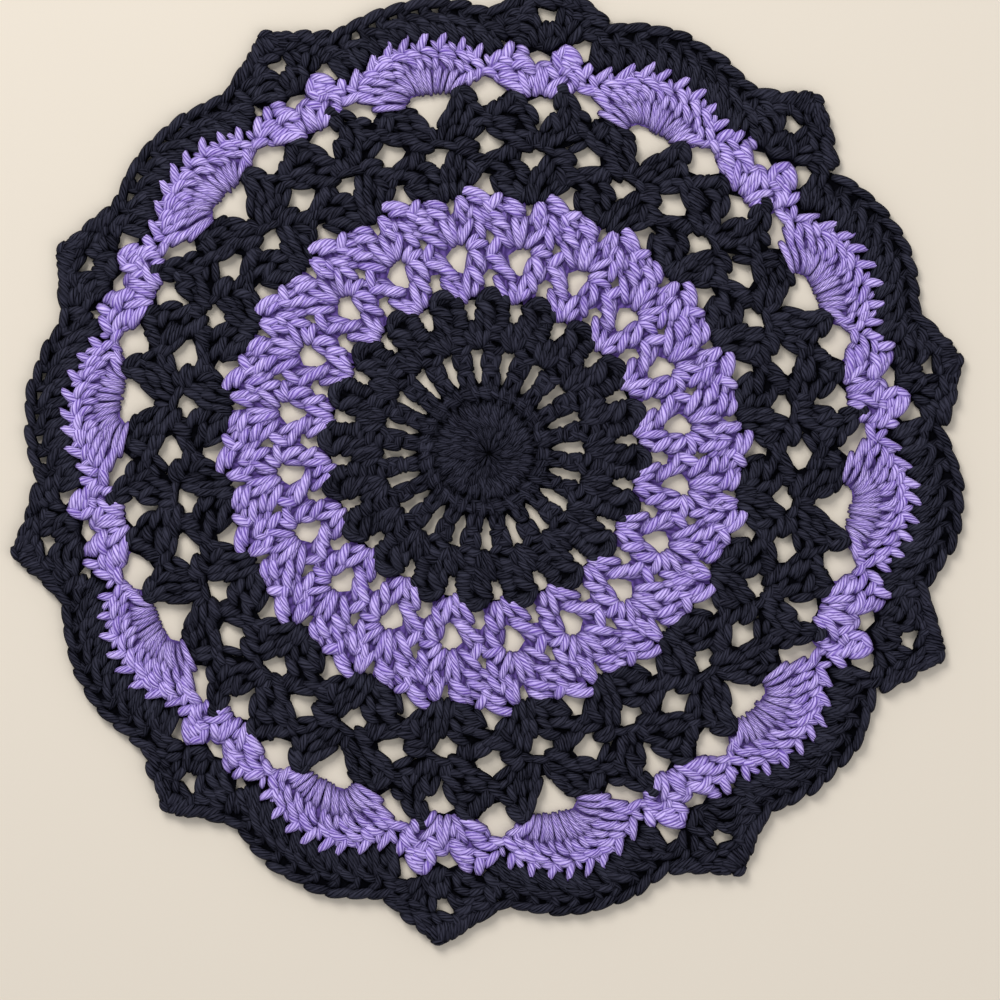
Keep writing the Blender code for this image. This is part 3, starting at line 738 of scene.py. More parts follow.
# %% Round eight, the fans
FAN_TURN, POINT_TURN = 28.1, 10.4       # degrees from +X to the first fan and first little shell
TOOTH_TIP = (0.0, 0.0, 1.0, 0.5)        # straight, not sunk, full at the foot and thin at the tip
POST_TOP = (0.76, 1.1)                  # thin where the posts crowd together, full at the top
ROPE_END = (0.0, 1.0, 0.7)              # not sunk, full at the start, thinner where it dives
FAN = strand_rows(
    (-22.4, 121.4, -20.2, 128.2, 3.0, *TOOTH_TIP), (-16.8, 124.6, -14.8, 131.6, 3.0, *TOOTH_TIP),
    (-11.2, 127.4, -9.2, 134.2, 3.1, *TOOTH_TIP), (-6.6, 128.4, -3.4, 134.7, 3.1, *TOOTH_TIP),
    (-0.6, 128.8, 2.5, 134.8, 3.1, *TOOTH_TIP), (5.0, 128.6, 8.7, 133.6, 3.1, *TOOTH_TIP),
    (11.6, 126.8, 14.3, 132.6, 3.0, *TOOTH_TIP), (16.2, 124.2, 19.5, 129.4, 3.0, *TOOTH_TIP),
    (-20.2, 125.8, -18.9, 122.8, 1.6), (-14.9, 128.9, -13.3, 125.8, 1.6),
    (-8.9, 130.6, -7.4, 127.4, 1.6), (-2.8, 130.8, -1.5, 128.0, 1.6), (3.5, 131.0, 4.6, 128.2, 1.6),
    (9.4, 130.2, 10.2, 127.2, 1.6), (14.9, 129.0, 15.7, 125.6, 1.6),
    (19.9, 125.0, 20.0, 122.4, 1.6), (-20.6, 122.4, -14.4, 121.2, 2.4, 1.0),
    (-15.3, 125.4, -9.7, 124.3, 2.6, 1.0), (-11.0, 127.5, -3.9, 125.8, 2.6, 1.0),
    (-6.0, 128.5, -0.5, 126.0, 2.6, 0.9), (0.0, 129.0, 4.6, 125.4, 2.6, 0.9),
    (6.3, 127.9, 9.9, 124.3, 2.6, 0.8), (10.8, 127.2, 13.7, 123.5, 2.6, 0.6),
    (15.5, 123.5, 17.9, 120.6, 2.5, 0.3), (-18.4, 124.8, -14.0, 123.4, 2.4, 0.5),
    (-13.6, 127.8, -9.4, 126.6, 2.4, 0.5), (5.2, 129.2, 8.8, 127.4, 2.4, 0.4, 1),
    (13.4, 126.2, 16.0, 123.2, 2.4, 0.3), (-16.8, 121.1, -10.9, 118.9, 2.2, 0.9),
    (-13.9, 123.2, -8.6, 120.8, 2.2, 0.9), (-10.4, 125.5, -6.4, 122.2, 2.2, 0.8),
    (-5.6, 126.6, -2.2, 122.8, 2.1, 0.8), (-0.2, 126.6, 2.4, 122.6, 2.1, 0.8),
    (5.0, 126.0, 7.5, 122.0, 2.1, 0.7), (9.6, 124.6, 12.0, 120.6, 2.1, 0.5),
    (12.6, 122.6, 14.6, 119.2, 2.0, 0.3), (-24.9, 119.6, -16.2, 116.4, 2.3, 0.5),
    (-21.2, 117.2, -12.6, 113.6, 2.1, 0.4), (-16.6, 113.2, -6.5, 110.8, 2.2, 0.1, *ROPE_END),
    (-17.4, 115.6, -6.2, 112.2, 1.9, 0.7, *ROPE_END),
    (-14.2, 117.0, -5.5, 113.1, 1.8, 1.0, *ROPE_END), (-19.4, 119.4, -11.8, 116.8, 2.0, 0.6),
    (-20.4, 121.0, -16.4, 119.2, 2.1), (-12.4, 118.2, -5.1, 113.9, 1.7, 1.0, *ROPE_END),
    (-4.9, 114.2, -10.3, 119.4, 1.5, -0.6, 0, *POST_TOP),
    (-4.0, 114.4, -8.9, 120.8, 1.5, -0.5, -0.4, *POST_TOP),
    (-3.1, 114.3, -7.3, 121.8, 1.5, -0.4, 0.1, *POST_TOP),
    (-2.1, 114.1, -5.6, 122.4, 1.5, -0.3, -0.4, *POST_TOP),
    (-1.1, 114.0, -3.8, 122.8, 1.5, -0.2, 0.1, *POST_TOP),
    (-0.1, 113.9, -2.0, 122.8, 1.5, 0, -0.4, *POST_TOP),
    (0.9, 113.9, -0.1, 122.6, 1.5, 0, 0.1, *POST_TOP),
    (1.9, 113.9, 1.8, 122.6, 1.5, 0, -0.4, *POST_TOP),
    (2.9, 113.9, 3.7, 122.4, 1.5, 0, 0.1, *POST_TOP),
    (3.9, 113.9, 5.6, 122.2, 1.5, 0.2, -0.4, *POST_TOP),
    (4.9, 113.8, 7.4, 121.8, 1.5, 0.3, 0.1, *POST_TOP),
    (5.8, 113.7, 9.2, 121.0, 1.5, 0.3, -0.4, *POST_TOP),
    (6.7, 113.6, 10.8, 120.2, 1.5, 0.4, 0, *POST_TOP),
    (7.6, 113.8, 12.2, 118.8, 1.6, 0.4, -0.4, *POST_TOP), (9.2, 115.4, 13.6, 119.2, 1.9, 0.2),
    (13.2, 116.2, 14.9, 121.0, 2.1), (15.8, 117.9, 18.2, 122.0, 2.2, 0, 1),
    (11.6, 116.4, 16.6, 118.6, 2.0, 0.2), (17.0, 119.0, 20.6, 121.6, 2.1, 0, 1),
    (-15.2, 122.4, -10.8, 120.0, 1.9, 0, 1), (-6.6, 125.6, -4.9, 121.4, 1.8, 0.2, 0.3),
    (-1.3, 126.4, -0.7, 121.2, 1.9, 0, 0.3), (3.7, 126.2, 4.4, 121.2, 1.9, 0, 0.3),
    (8.4, 125.2, 8.8, 120.6, 1.9, 0, 0.3), (-12.6, 121.0, -9.2, 118.6, 1.9, 0.3, 0.5),
    (-9.4, 123.4, -6.8, 120.8, 1.9, 0.3, 0.5),
)
skins = [
    worked(FAN, REPEATS, FAN_TURN, rng),
    worked(V_SHELL, REPEATS, POINT_TURN, rng, fit_shell),
]
make_piece("lilac_fans", skins, LILAC_YARN)

# %% [markdown]
# ## The black edging
#
# The last round goes over the fans treble by treble and makes a point over each little shell.
# No two points of the cloth reach equally far, so the strands of a point are worked out on one
# of them and then stretched or leant to the next.

# %% The outer edge
STEP = 360 / REPEATS    # degrees from one point to the next
TIP_RADIUS, CREST_RADIUS, VALLEY_RADIUS = 152.8, 146.5, 139.6       # mm
FIRST_TIP, TIP_HALF_ANGLE, TIP_BLUNTNESS, SCALLOP_HALF_ANGLE = 11.6, 6.9, 0.6, 12.0     # degrees
POINT_ROWS = np.array((     # reach mm, lean degrees, and crest mm of the scallop that follows
    (-2.0,  0.8,  0.0), (1.0,   1.6,  0.0), (0.0,   0.0, -1.0), (-0.4, -0.4, -0.6),
    (-1.0, -0.8,  0.2), (1.2,   0.2,  1.0), (-0.4, -0.8,  0.8), (1.6,  -0.8, -1.0),
    (-0.6,  0.2, -0.4), (2.2,   0.4,  1.6),
))


def outline_radius(angle_deg):
    """Radius of the edge at each angle, mm: a scallop that falls from its crest with the square
    of the angle, plus a point that falls evenly on both sides of its tip."""
    steps = (angle_deg - FIRST_TIP) / STEP
    crest = CREST_RADIUS + POINT_ROWS[np.floor(steps).astype(int) % REPEATS, 2]
    near = POINT_ROWS[np.round(steps).astype(int) % REPEATS]
    from_crest = (steps % 1 - 0.5) * STEP
    from_tip = (steps - np.round(steps)) * STEP - near[:, 1]
    fall = (np.minimum(np.abs(from_crest), SCALLOP_HALF_ANGLE) / SCALLOP_HALF_ANGLE) ** 2
    slope = np.hypot(from_tip, TIP_BLUNTNESS) / TIP_HALF_ANGLE
    height = TIP_RADIUS + near[:, 0] - VALLEY_RADIUS
    return crest - (crest - VALLEY_RADIUS) * fall + height * np.maximum(0, 1 - slope)


edge_turns = np.arange(0, 360, 0.5)
edge = place(edge_turns, 0, outline_radius(edge_turns))
edge_length = np.linalg.norm(edge - np.roll(edge, 1, axis=0), axis=-1).sum()
print("the edge is", round(float(edge_length)), "mm round")

# %% Round nine, over the fans
EDGE_FEET = np.array((  # mm across the fan, radius
    (-24.2, 125.0), (-18.8, 126.6), (-13.2, 128.6), (-7.2, 130.4), (-0.9, 131.0), (4.8, 130.6),
    (10.6, 129.0), (15.8, 127.0), (21.2, 125.4),
))
EDGE_STITCH = strand_rows(      # here the radius is a part of the way from the foot to the edge
    (-3.2, 0.56, -0.1, 0.00, 2.4), (-1.4, 0.52, 0.9, 0.08, 2.1), (-2.9, 0.63, 2.2, 0.51, 2.4, 0.3),
    (2.0, 0.82, 3.1, 0.54, 2.2, 0, 1), (0.0, 0.58, 3.9, 0.34, 2.8, 0.5),
    (1.0, 0.38, 2.8, 0.20, 2.3), (-2.9, 0.83, 4.3, 0.94, 2.6, 0.3),
    (2.2, 0.73, 4.7, 0.80, 2.3, 0.2, 1), (2.4, 0.58, 4.8, 0.66, 2.2, 0, 1),
)
EDGE_THICKNESS = 1.1        # mm from a strand's middle line to the edge of the doily


def edge_strands(foot_across, foot_radius, rng):
    """One edging stitch over every fan. A radius is the foot's plus the strand's part of the way
    from the foot to the edge as it lies at the strand's own angle."""
    turns = FAN_TURN + STEP * np.arange(REPEATS) - math.degrees(foot_across / foot_radius)

    def fit(ends):
        reach = outline_radius(turns)[:, None] - EDGE_THICKNESS
        radius = foot_radius + ends[..., 1] * (reach - foot_radius)
        angle = turns[:, None] - np.degrees(ends[..., 0] / radius)
        reach = outline_radius(angle.ravel()).reshape(angle.shape) - EDGE_THICKNESS
        radius = foot_radius + ends[..., 1] * (reach - foot_radius)
        return np.stack([ends[..., 0], radius], axis=-1)

    return strand_bundle(*strand_courses(EDGE_STITCH, turns, rng, fit), rng)


skins = [edge_strands(across, radius, rng) for across, radius in EDGE_FEET]
make_piece("edging_over_fans", skins, BLACK_YARN)

# %% Round nine, the points
POINT_FOOT = 130.0      # radius, mm
POINT_HALF = 18         # mm across at which a point's reach moves nothing
POINT_TEMPLATE = 7      # the row of POINT_ROWS on which the strands were worked out
POINT_SHORTER, POINT_TURNED = 1.4, 0.4      # mm and degrees by which they were drawn too far
POINT = strand_rows(
    (-17.0, 140.6, -12.0, 144.6, 2.9), (-14.2, 140.8, -9.8, 146.4, 2.7),
    (-10.8, 142.8, -7.2, 148.9, 2.8), (-7.9, 144.6, -5.0, 150.7, 2.6),
    (-5.2, 145.8, -3.0, 152.0, 2.5), (-3.2, 145.8, -1.4, 152.8, 2.4),
    (-0.9, 147.2, -0.7, 151.0, 2.7), (-0.2, 152.6, 1.8, 147.4, 2.8),
    (-2.6, 152.4, 0.6, 152.9, 2.1, 0.3), (1.4, 151.6, 4.2, 147.8, 2.7),
    (3.0, 150.0, 5.8, 147.2, 2.8), (1.6, 148.6, 4.2, 145.8, 2.5), (5.0, 148.0, 7.2, 145.4, 2.5),
    (7.0, 147.2, 11.2, 145.2, 2.7), (8.6, 145.0, 13.4, 142.8, 2.8),
    (2.0, 145.3, 7.6, 144.1, 2.4, 0.2), (11.8, 143.9, 16.6, 141.6, 2.6),
    (-5.6, 144.9, -0.2, 144.2, 2.5, 0.3), (-0.9, 146.8, 1.8, 145.0, 2.3),
    (-10.0, 140.4, -5.6, 141.6, 2.6, 1.2), (-5.9, 141.4, -3.2, 137.0, 2.5, 0.2),
    (-14.8, 139.4, -9.4, 139.4, 2.7, 1.0), (-14.2, 137.6, -9.6, 137.9, 2.4),
    (-13.2, 135.4, -8.2, 136.8, 2.5), (-16.8, 139.4, -14.0, 134.4, 2.5),
    (-13.6, 134.8, -8.2, 133.2, 2.4, 0.2), (-9.8, 136.6, -4.4, 135.2, 2.5, 0.3),
    (-8.6, 134.2, -5.2, 131.2, 2.5), (-9.4, 132.8, -6.0, 131.6, 2.3),
    (-5.6, 135.6, -3.4, 131.0, 2.2), (-6.8, 133.2, -4.6, 130.6, 2.1),
    (-3.0, 137.4, -1.5, 132.2, 2.3), (-1.4, 138.6, -1.5, 133.4, 2.3), (0.4, 139.3, 0.4, 134.0, 2.4),
    (2.0, 143.6, 2.3, 138.9, 2.5), (4.6, 142.4, 5.2, 138.4, 2.4), (1.8, 139.0, 3.8, 135.6, 2.5),
    (-11.6, 138.4, -6.2, 139.6, 2.5, 0.4), (10.4, 137.6, 14.0, 138.6, 2.3, 0.2),
    (-8.0, 140.2, -4.8, 138.4, 2.3, 0.2), (3.6, 137.8, 5.0, 133.6, 2.4),
    (5.6, 137.0, 8.2, 140.4, 2.4, 0.5), (6.8, 134.6, 9.6, 138.8, 2.6, -0.5),
    (0.8, 130.6, 4.4, 134.6, 2.6), (-0.6, 130.6, 1.4, 135.0, 2.3),
    (8.2, 135.0, 10.8, 136.6, 2.2, 0, 1), (9.2, 142.7, 15.8, 141.0, 2.7, 0.2),
    (11.0, 141.2, 16.8, 140.2, 2.5, 0.2), (13.6, 138.6, 17.2, 136.8, 2.5),
    (9.6, 139.8, 12.0, 140.8, 2.3), (-11.6, 142.0, -9.4, 140.6, 2.2, 0, 1),
    (-6.6, 146.4, -5.0, 144.0, 2.3), (-9.0, 143.2, -6.2, 144.2, 2.3),
    (3.8, 143.4, 6.2, 141.8, 2.3, 0, 1), (6.0, 142.4, 9.0, 141.0, 2.4),
    (14.7, 135.8, 15.6, 129.8, 2.4), (14.6, 131.0, 16.6, 126.6, 2.3),
    (10.6, 136.2, 14.8, 136.4, 2.3, 0.2), (15.6, 138.0, 17.4, 133.6, 2.3),
    (-17.6, 136.6, -16.6, 131.4, 2.3), (-18.4, 137.6, -16.6, 133.2, 2.3, 0, 1),
    (-3.6, 131.6, 0.8, 130.4, 2.2, 0.2, 1), (4.6, 145.9, 8.8, 143.4, 2.3, 0, 1),
)


def fit_point(ends):
    """Strand ends of the template, moved out by the share of a point's own reach and turned by its
    own lean, both growing evenly from the foot to the tip."""
    template = POINT_ROWS[POINT_TEMPLATE]
    up = (ends[..., 1] - POINT_FOOT) / (TIP_RADIUS - POINT_FOOT)
    reach = (POINT_ROWS[:, 0] - template[0])[:, None] - POINT_SHORTER
    lean = (POINT_ROWS[:, 1] - template[1])[:, None] - POINT_TURNED
    near_tip = np.clip(1 - np.abs(ends[..., 0]) / POINT_HALF, 0, 1)
    across = ends[..., 0] - np.radians(lean) * ends[..., 1] * np.maximum(up, 0)
    radius = ends[..., 1] + reach * np.maximum(up, 0) * near_tip
    return fit_shell(np.stack([across, radius], axis=-1))


skin = worked(POINT, REPEATS, POINT_TURN, rng, fit_point)
make_piece("edging_points", [skin], BLACK_YARN)

# %% [markdown]
# ## The web between the strands
#
# Between front and back strands a real doily is filled with fuzz and with yarn that can't be
# seen singly. A thin sheet at mid height stands for it and for the shade deep in the work: it
# has the outline and the gaps of the lace, is coloured dark as painted shade, and closes the
# chinks that light would otherwise fall through.
#
# Some chinks stay open, although they are too small to be cut in the mat: stars between the
# lilac stitches, notches between the tops of the shells, slits beside the points, and the holes
# under the outer chain where the edging lies slack. A gap is drawn once, as it shows between the
# strands, and repeated round its ring. The sheet stops a little short of it, under the yarn.

# %% Gaps in the ground sheet
GAPS = (    # gaps in the ring, first one's degrees, then its corners: mm across, radius
    (20, 2.3, ((-1.9, 31.0), (-0.3, 31.6), (1.5, 31.2), (1.9, 29.8), (1.4, 26.0), (0.6, 22.8),
               (0.0, 22.0), (-0.6, 23.4), (-1.6, 27.0))),
    (20, 4.9, ((-1.5, 46.2), (1.4, 46.2), (1.4, 44.4), (0.8, 42.0), (0.0, 41.2), (-0.6, 42.6))),
    (20, 15.5, ((-1.8, 53.6), (-0.6, 55.6), (1.2, 55.4), (1.9, 53.0), (0.6, 50.8), (-1.0, 51.2))),
    (20, 7.2, ((-3.0, 61.0), (-0.8, 63.4), (1.8, 63.8), (3.2, 61.6), (2.6, 58.4), (0.6, 56.6),
               (-1.6, 57.6))),
    (20, 18.4, ((-3.2, 83.2), (-0.6, 86.2), (1.6, 85.8), (3.6, 83.0), (1.8, 81.2), (-1.4, 81.0))),
    (20, 9.4, ((-3.0, 94.4), (-0.4, 95.4), (1.6, 95.6), (3.4, 93.8), (2.2, 91.2), (0.4, 88.8),
               (-1.2, 90.2), (-3.0, 92.8))),
    (20, 19.0, ((-5.4, 97.6), (-2.6, 100.0), (1.0, 101.4), (4.6, 99.0), (5.6, 97.0), (2.6, 94.6),
                (-0.8, 93.8), (-3.8, 95.2))),
    (10, 10.2, ((-2.6, 110.6), (0.2, 112.2), (5.0, 112.2), (6.2, 110.2), (3.8, 107.4), (2.4, 104.8),
                (1.4, 103.4), (0.2, 105.2), (-1.2, 108.0))),
    (10, 28.1, ((-5.6, 111.2), (-3.6, 113.0), (0.0, 113.2), (4.0, 113.4), (9.2, 112.8),
                (8.8, 111.0), (6.2, 107.6), (4.6, 105.2), (3.2, 103.4), (1.0, 103.2),
                (-0.6, 105.2), (-1.6, 107.8))),
    (10, 18.5, ((-4.8, 115.0), (-2.6, 118.2), (0.6, 119.0), (2.8, 117.8), (4.8, 114.2),
                (1.8, 110.8), (-1.6, 109.8), (-4.4, 112.4))),
    (10, 38.7, ((-5.2, 113.8), (-4.0, 117.2), (0.4, 117.7), (2.8, 115.8), (5.0, 112.8),
                (2.4, 110.0), (-1.8, 109.4))),
    (20, 16.7, ((-0.6, 69.4), (0.4, 69.5), (0.9, 66.4), (0.2, 65.2), (-0.8, 65.8))),
    (20, 9.4, ((0.9, 78.4), (2.4, 78.6), (2.3, 76.6), (1.5, 75.2))),
)
SHELL_GAPS = (      # the same, across from the middle of a little shell
    ((-5.0, 127.2), (-1.8, 128.6), (1.0, 127.6), (0.8, 125.2), (-1.4, 123.4), (-3.4, 124.6)),
    ((8.8, 133.0), (10.0, 134.2), (12.8, 134.2), (13.0, 130.2), (12.2, 129.6), (10.2, 131.2)),
    ((-16.0, 133.4), (-14.4, 133.4), (-12.8, 131.2), (-13.4, 130.4), (-15.0, 131.2)),
)
POINT_GAP = (
    (-4.0, 142.6), (-2.2, 143.2), (0.4, 143.0), (0.8, 141.4), (0.0, 139.8), (-1.4, 138.8),
    (-3.0, 140.8),
)
CHINK_FANS, CHINK_FEET = np.array((2, 3, 4)), EDGE_FEET[1:6]      # where the edging lies slack
CHINK_AT = (0.3, 0.73)  # mm across from a foot, part of the way from it to the edge
CHINK = ((-0.7, -0.6), (0.6, -0.7), (0.8, 0.6), (-0.5, 0.7))
INSET = 1.1             # mm that the sheet stops short of the yarn's edge
RIM_INSET = 1.0         # mm more at the outline
GROUND_LOW, GROUND_HIGH = 1.0, 1.8      # heights of its underside and its top, mm


def gap_loop(turn, corners):
    """The corners of one gap, moved INSET mm away from their middle."""
    corners = np.array(corners, dtype=float)
    away = corners - corners.mean(0)
    across, radius = (corners + INSET * unit(away)).T
    return place(turn, across, radius)


loops = [place(edge_turns, 0, outline_radius(edge_turns) - INSET - RIM_INSET)]
for count, first, corners in GAPS:
    loops += [gap_loop(first + i * 360 / count, corners) for i in range(count)]
fitted = [(fit_shell, corners) for corners in SHELL_GAPS] + [(fit_point, POINT_GAP)]
for fit, corners in fitted:
    each = fit(np.repeat(np.array(corners)[None], REPEATS, axis=0))
    loops += [gap_loop(POINT_TURN + STEP * i, each[i]) for i in range(REPEATS)]
for foot_across, foot_radius in CHINK_FEET:
    turns = FAN_TURN + STEP * CHINK_FANS - math.degrees(foot_across / foot_radius)
    reach = outline_radius(turns) - EDGE_THICKNESS
    middles = foot_radius + CHINK_AT[1] * (reach - foot_radius)
    loops += [gap_loop(t, np.add(CHINK, (CHINK_AT[0], r))) for t, r in zip(turns, middles)]
print(len(loops) - 1, "gaps")

# %% [markdown]
# ## Cutting the sheet
#
# The sheet could be cut out of a plate with Booleans, one for each gap. A triangulation that
# keeps to all the loops at once is quicker and leaves no slivers. It has points every few
# millimetres, so the sheet bends with the cloth when it is settled like the strands.

# %% Cut the ground sheet
def inside(points, loop):
    """Whether each point lies in the loop: a ray to +X crosses it an odd number of times."""
    a, b = loop, np.roll(loop, -1, axis=0)
    y = points[:, 1, None]
    spans = (a[:, 1] > y) != (b[:, 1] > y)
    rise = np.where(a[:, 1] == b[:, 1], 1, b[:, 1] - a[:, 1])
    crossing = a[:, 0] + (y - a[:, 1]) * (b[:, 0] - a[:, 0]) / rise
    return (spans & (crossing > points[:, 0, None])).sum(1) % 2 == 1


SHEET_HALF, GAP_REACH = 156, 10     # mm: no corner lies further out, nor a gap's from its middle
SPREAD = 3.0            # mm between the points inside the sheet


def cut_sheet(loops, spread):
    """Triangles over the outline and round the gaps, with extra points `spread` mm apart. A
    triangle is kept if its middle lies in the outline and in no gap."""
    span = np.arange(-SHEET_HALF, SHEET_HALF, spread)
    extra = np.stack(np.meshgrid(span, span), axis=-1).reshape(-1, 2)
    extra = extra[inside(extra, loops[0])]
    corners = np.concatenate(loops + [extra])
    edges, start = [], 0
    for loop in loops:
        n = len(loop)
        edges += [(start + i, start + (i + 1) % n) for i in range(n)]
        start += n
    found = delaunay_2d_cdt([Vector(p) for p in corners.tolist()], edges, [], 1, 1e-5)
    flat = np.array([tuple(p) for p in found[0]])
    faces = np.array([face for face in found[2] if len(face) == 3])
    centre = flat[faces].mean(1)
    keep = inside(centre, loops[0])
    for loop in loops[1:]:
        near = np.abs(centre - loop.mean(0)).max(1) < GAP_REACH
        keep[near] &= ~inside(centre[near], loop)
    return flat, faces[keep]


flat, faces = cut_sheet(loops, SPREAD)
settled_flat = settled(flat)
triangles = settled_flat[faces]
side_a, side_b = triangles[:, 1] - triangles[:, 0], triangles[:, 2] - triangles[:, 0]
turned = side_a[:, 0] * side_b[:, 1] - side_a[:, 1] * side_b[:, 0]
faces[turned < 0] = faces[turned < 0][:, ::-1]

# %% [markdown]
# ## A closed plate
#
# The sheet is a closed plate: its top, its underside turned over, and a rim along every loop
# edge. A rim edge is one that belongs to a single triangle.

# %% Close the sheet
def open_edges(faces):
    """Directed edges whose opposite direction belongs to no triangle."""
    ends = np.concatenate([faces[:, [0, 1]], faces[:, [1, 2]], faces[:, [2, 0]]])
    size = faces.max() + 1
    forward, back = ends[:, 0] * size + ends[:, 1], ends[:, 1] * size + ends[:, 0]
    return ends[~np.isin(forward, back)]


used, faces = np.unique(faces, return_inverse=True)
faces = faces.reshape(-1, 3)
flat, settled_flat = flat[used], settled_flat[used]
n = len(flat)
rim = open_edges(faces)
corners = np.concatenate([
    np.column_stack([settled_flat, np.full(n, GROUND_LOW)]),
    np.column_stack([settled_flat, np.full(n, GROUND_HIGH)]),
]) * MM
rim_quads = np.column_stack([rim[:, 1], rim[:, 0], rim[:, 0] + n, rim[:, 1] + n])
all_faces = (faces + n).tolist() + faces[:, ::-1].tolist() + rim_quads.tolist()
mesh = bpy.data.meshes.new("shaded_lace_ground")
mesh.from_pydata(corners.tolist(), [], all_faces)
mesh.validate()
print("plate:", n, "points a side,", len(rim), "rim edges")

# %% [markdown]
# ## Colours of the web
#
# The sheet's faces take the colour of the round above them, so that a chink in lilac work is a
# lilac shadow. The limit between lilac and black swings with the fans: out over a fan and over a
# little shell, and in below the fan's lower side. Faces are sorted by radius, after that swing is
# taken off, which is shorter than drawing the limits as loops.

# %% Finish of the web, in painted shade
GROUND_PLIES = 210      # grooves once round the doily
GROUND_WAVER = 14.0     # how far they wander, in radians of their sine
BLACK_SHADE_WEB, LILAC_SHADE_WEB = 0, 1
BANDS = (               # outer radius mm, material
    (48.4, BLACK_SHADE_WEB), (79.0, LILAC_SHADE_WEB), (114.6, BLACK_SHADE_WEB), (123.0, LILAC_SHADE_WEB),
    (200.0, BLACK_SHADE_WEB),
)
FAN_SWELL, FAN_LEAD = 3.8, 1.0      # mm: the outer lilac limit swings out over a fan or shell
FAN_DIP = 3.2           # mm that the inner lilac limit dips below a fan's lower side
DIP_FROM, DIP_TO = 105, 118         # radii, mm: the dip moves the inner limit, the swing the outer
DIP_AHEAD = 60          # degrees of a fan's full turn by which the dip lies to its left


def shaded_ground_material(name, shaded_yarn_colour, groove_shade):
    """Yarn deep between strands, coloured dark as painted shade: matt, with plies that run
    outwards and painted shade in their grooves. They come from a sine of the angle round the
    doily, to which noise is added, all on Object coordinates."""
    material = bpy.data.materials.new(name)
    material.use_nodes = True
    tree = material.node_tree
    shader = tree.nodes["Principled BSDF"]
    place_at = tree.nodes.new("ShaderNodeTexCoord")
    wander = node(tree, "ShaderNodeTexNoise", Scale=260.0, Detail=2.0)
    tree.links.new(place_at.outputs["Object"], wander.inputs["Vector"])
    split = tree.nodes.new("ShaderNodeSeparateXYZ")
    tree.links.new(place_at.outputs["Object"], split.inputs[0])
    turn = maths(tree, "ARCTAN2", split.outputs[1], split.outputs[0])
    phase = maths(tree, "MULTIPLY", turn, GROUND_PLIES)
    phase = maths(tree, "MULTIPLY_ADD", wander.outputs["Fac"], GROUND_WAVER, phase)
    fuzz = maths(tree, "MULTIPLY_ADD", maths(tree, "SINE", phase), 0.5, 0.5)
    # painted shade: the grooves of the web's plies get the darker colour
    ramp = tree.nodes.new("ShaderNodeValToRGB")
    ramp.color_ramp.elements[0].color = (*groove_shade, 1)
    ramp.color_ramp.elements[1].color = (*shaded_yarn_colour, 1)
    tree.links.new(fuzz, ramp.inputs["Fac"])
    tree.links.new(ramp.outputs["Color"], shader.inputs["Base Color"])
    bump = node(tree, "ShaderNodeBump", Strength=0.8, Distance=0.4 * MM)
    tree.links.new(fuzz, bump.inputs["Height"])
    tree.links.new(bump.outputs[0], shader.inputs["Normal"])
    shader.inputs["Roughness"].default_value = 0.9
    shader.inputs["Specular IOR Level"].default_value = 0.05
    return material


# %% Colour the web and lay it
# painted shade: each web is coloured as its yarn looks in deep shadow, near-black or dark lilac
mesh.materials.append(shaded_ground_material("black_ground_shade", srgb(4, 4, 9), srgb(1, 1, 5)))
mesh.materials.append(shaded_ground_material("lilac_ground_shade", srgb(100, 78, 146), srgb(66, 48, 104)))
middles = np.concatenate([flat[group].mean(1) for group in (faces, faces[:, ::-1], rim_quads % n)])
limits = np.array([limit for limit, _ in BANDS])
colours = np.array([colour for _, colour in BANDS])
reach = np.hypot(middles[:, 0], middles[:, 1])
turn = np.arctan2(middles[:, 1], middles[:, 0])
phase = REPEATS * (turn - math.radians(FAN_TURN))
swing = FAN_SWELL * np.cos(2 * phase) + FAN_LEAD * np.cos(phase)
dip = FAN_DIP * np.clip(np.cos(phase - math.radians(DIP_AHEAD)), 0, 1) ** 2
swing = np.where(reach > DIP_TO, swing, 0)
dip = np.where((reach > DIP_FROM) & (reach < DIP_TO), dip, 0)
band = colours[np.searchsorted(limits, reach - swing + dip)]
mesh.polygons.foreach_set("material_index", band.astype(np.int32))
ground = bpy.data.objects.new("shaded_lace_ground", mesh)
bpy.context.collection.objects.link(ground)
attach(ground, "root")
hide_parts("doily")

# %% [markdown]
# ## Floor and light
#
# A pale, plain floor shows through the gaps as a table does. One large soft lamp from the upper
# left gives the yarn its highlights and the lace a faint shadow, and a dim sky fills the rest.

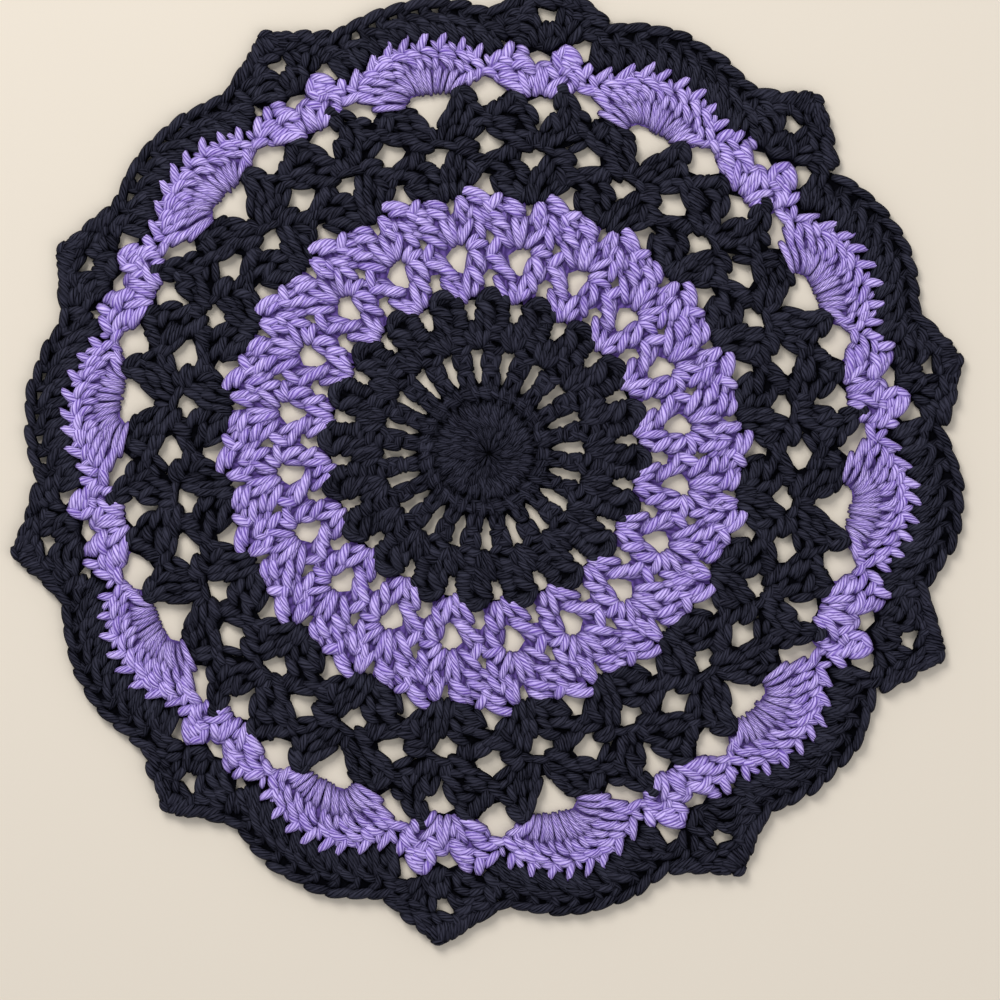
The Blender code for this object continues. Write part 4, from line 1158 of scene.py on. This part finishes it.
# %% Floor
FLOOR_DROP = 0.2 * MM       # the floor lies just under the underside


def floor_piece(half_size):
    """A square of four corners round the origin."""
    mesh = bpy.data.meshes.new("floor")
    signs = ((-1, -1), (1, -1), (1, 1), (-1, 1))
    corners = [(x * half_size, y * half_size, -FLOOR_DROP) for x, y in signs]
    mesh.from_pydata(corners, [], [(0, 1, 2, 3)])
    floor = bpy.data.objects.new("floor", mesh)
    bpy.context.collection.objects.link(floor)
    material = bpy.data.materials.new("pale_floor")
    material.use_nodes = True
    shader = material.node_tree.nodes["Principled BSDF"]
    shader.inputs["Base Color"].default_value = (*srgb(222, 211, 194), 1)
    shader.inputs["Roughness"].default_value = 0.8
    mesh.materials.append(material)
    floor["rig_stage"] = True
    print("floor:", 2 * half_size, "m a side")


floor_piece(half_size=3.0)

# %% Lamps and sky
def soft_lamp(name, place_at, size, watts):
    """A square lamp aimed at the middle of the doily."""
    data = bpy.data.lights.new(name, "AREA")
    data.size, data.energy = size, watts
    lamp = bpy.data.objects.new(name, data)
    lamp.location = place_at
    lamp.rotation_euler = (-Vector(place_at)).to_track_quat("-Z", "Y").to_euler()
    bpy.context.collection.objects.link(lamp)


soft_lamp("window_lamp", (-0.5, 0.9, 1.1), size=0.7, watts=16)
soft_lamp("fill_lamp", (0.9, -0.5, 1.3), size=1.2, watts=6)
world = bpy.data.worlds.new("studio")
world.use_nodes = True
world.node_tree.nodes["Background"].inputs["Color"].default_value = (*srgb(235, 238, 245), 1)
world.node_tree.nodes["Background"].inputs["Strength"].default_value = 0.55
bpy.context.scene.world = world
bpy.context.scene.view_settings.view_transform = "Standard"

# %% [markdown]
# ## Sizes
#
# The dressed doily must be as large as the mat it stands for. Both boxes are gathered, and
# the last line prints their sizes.

# %% Print the two boxes and finish
bpy.context.view_layer.update()
visual_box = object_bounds()
boxes = {
    "cad": [list(corner) for corner in cad_box],
    "visual": [list(corner) for corner in visual_box],
}
for name, (low, high) in boxes.items():
    print(name, [round((b - a) / MM, 1) for a, b in zip(low, high)], "mm")
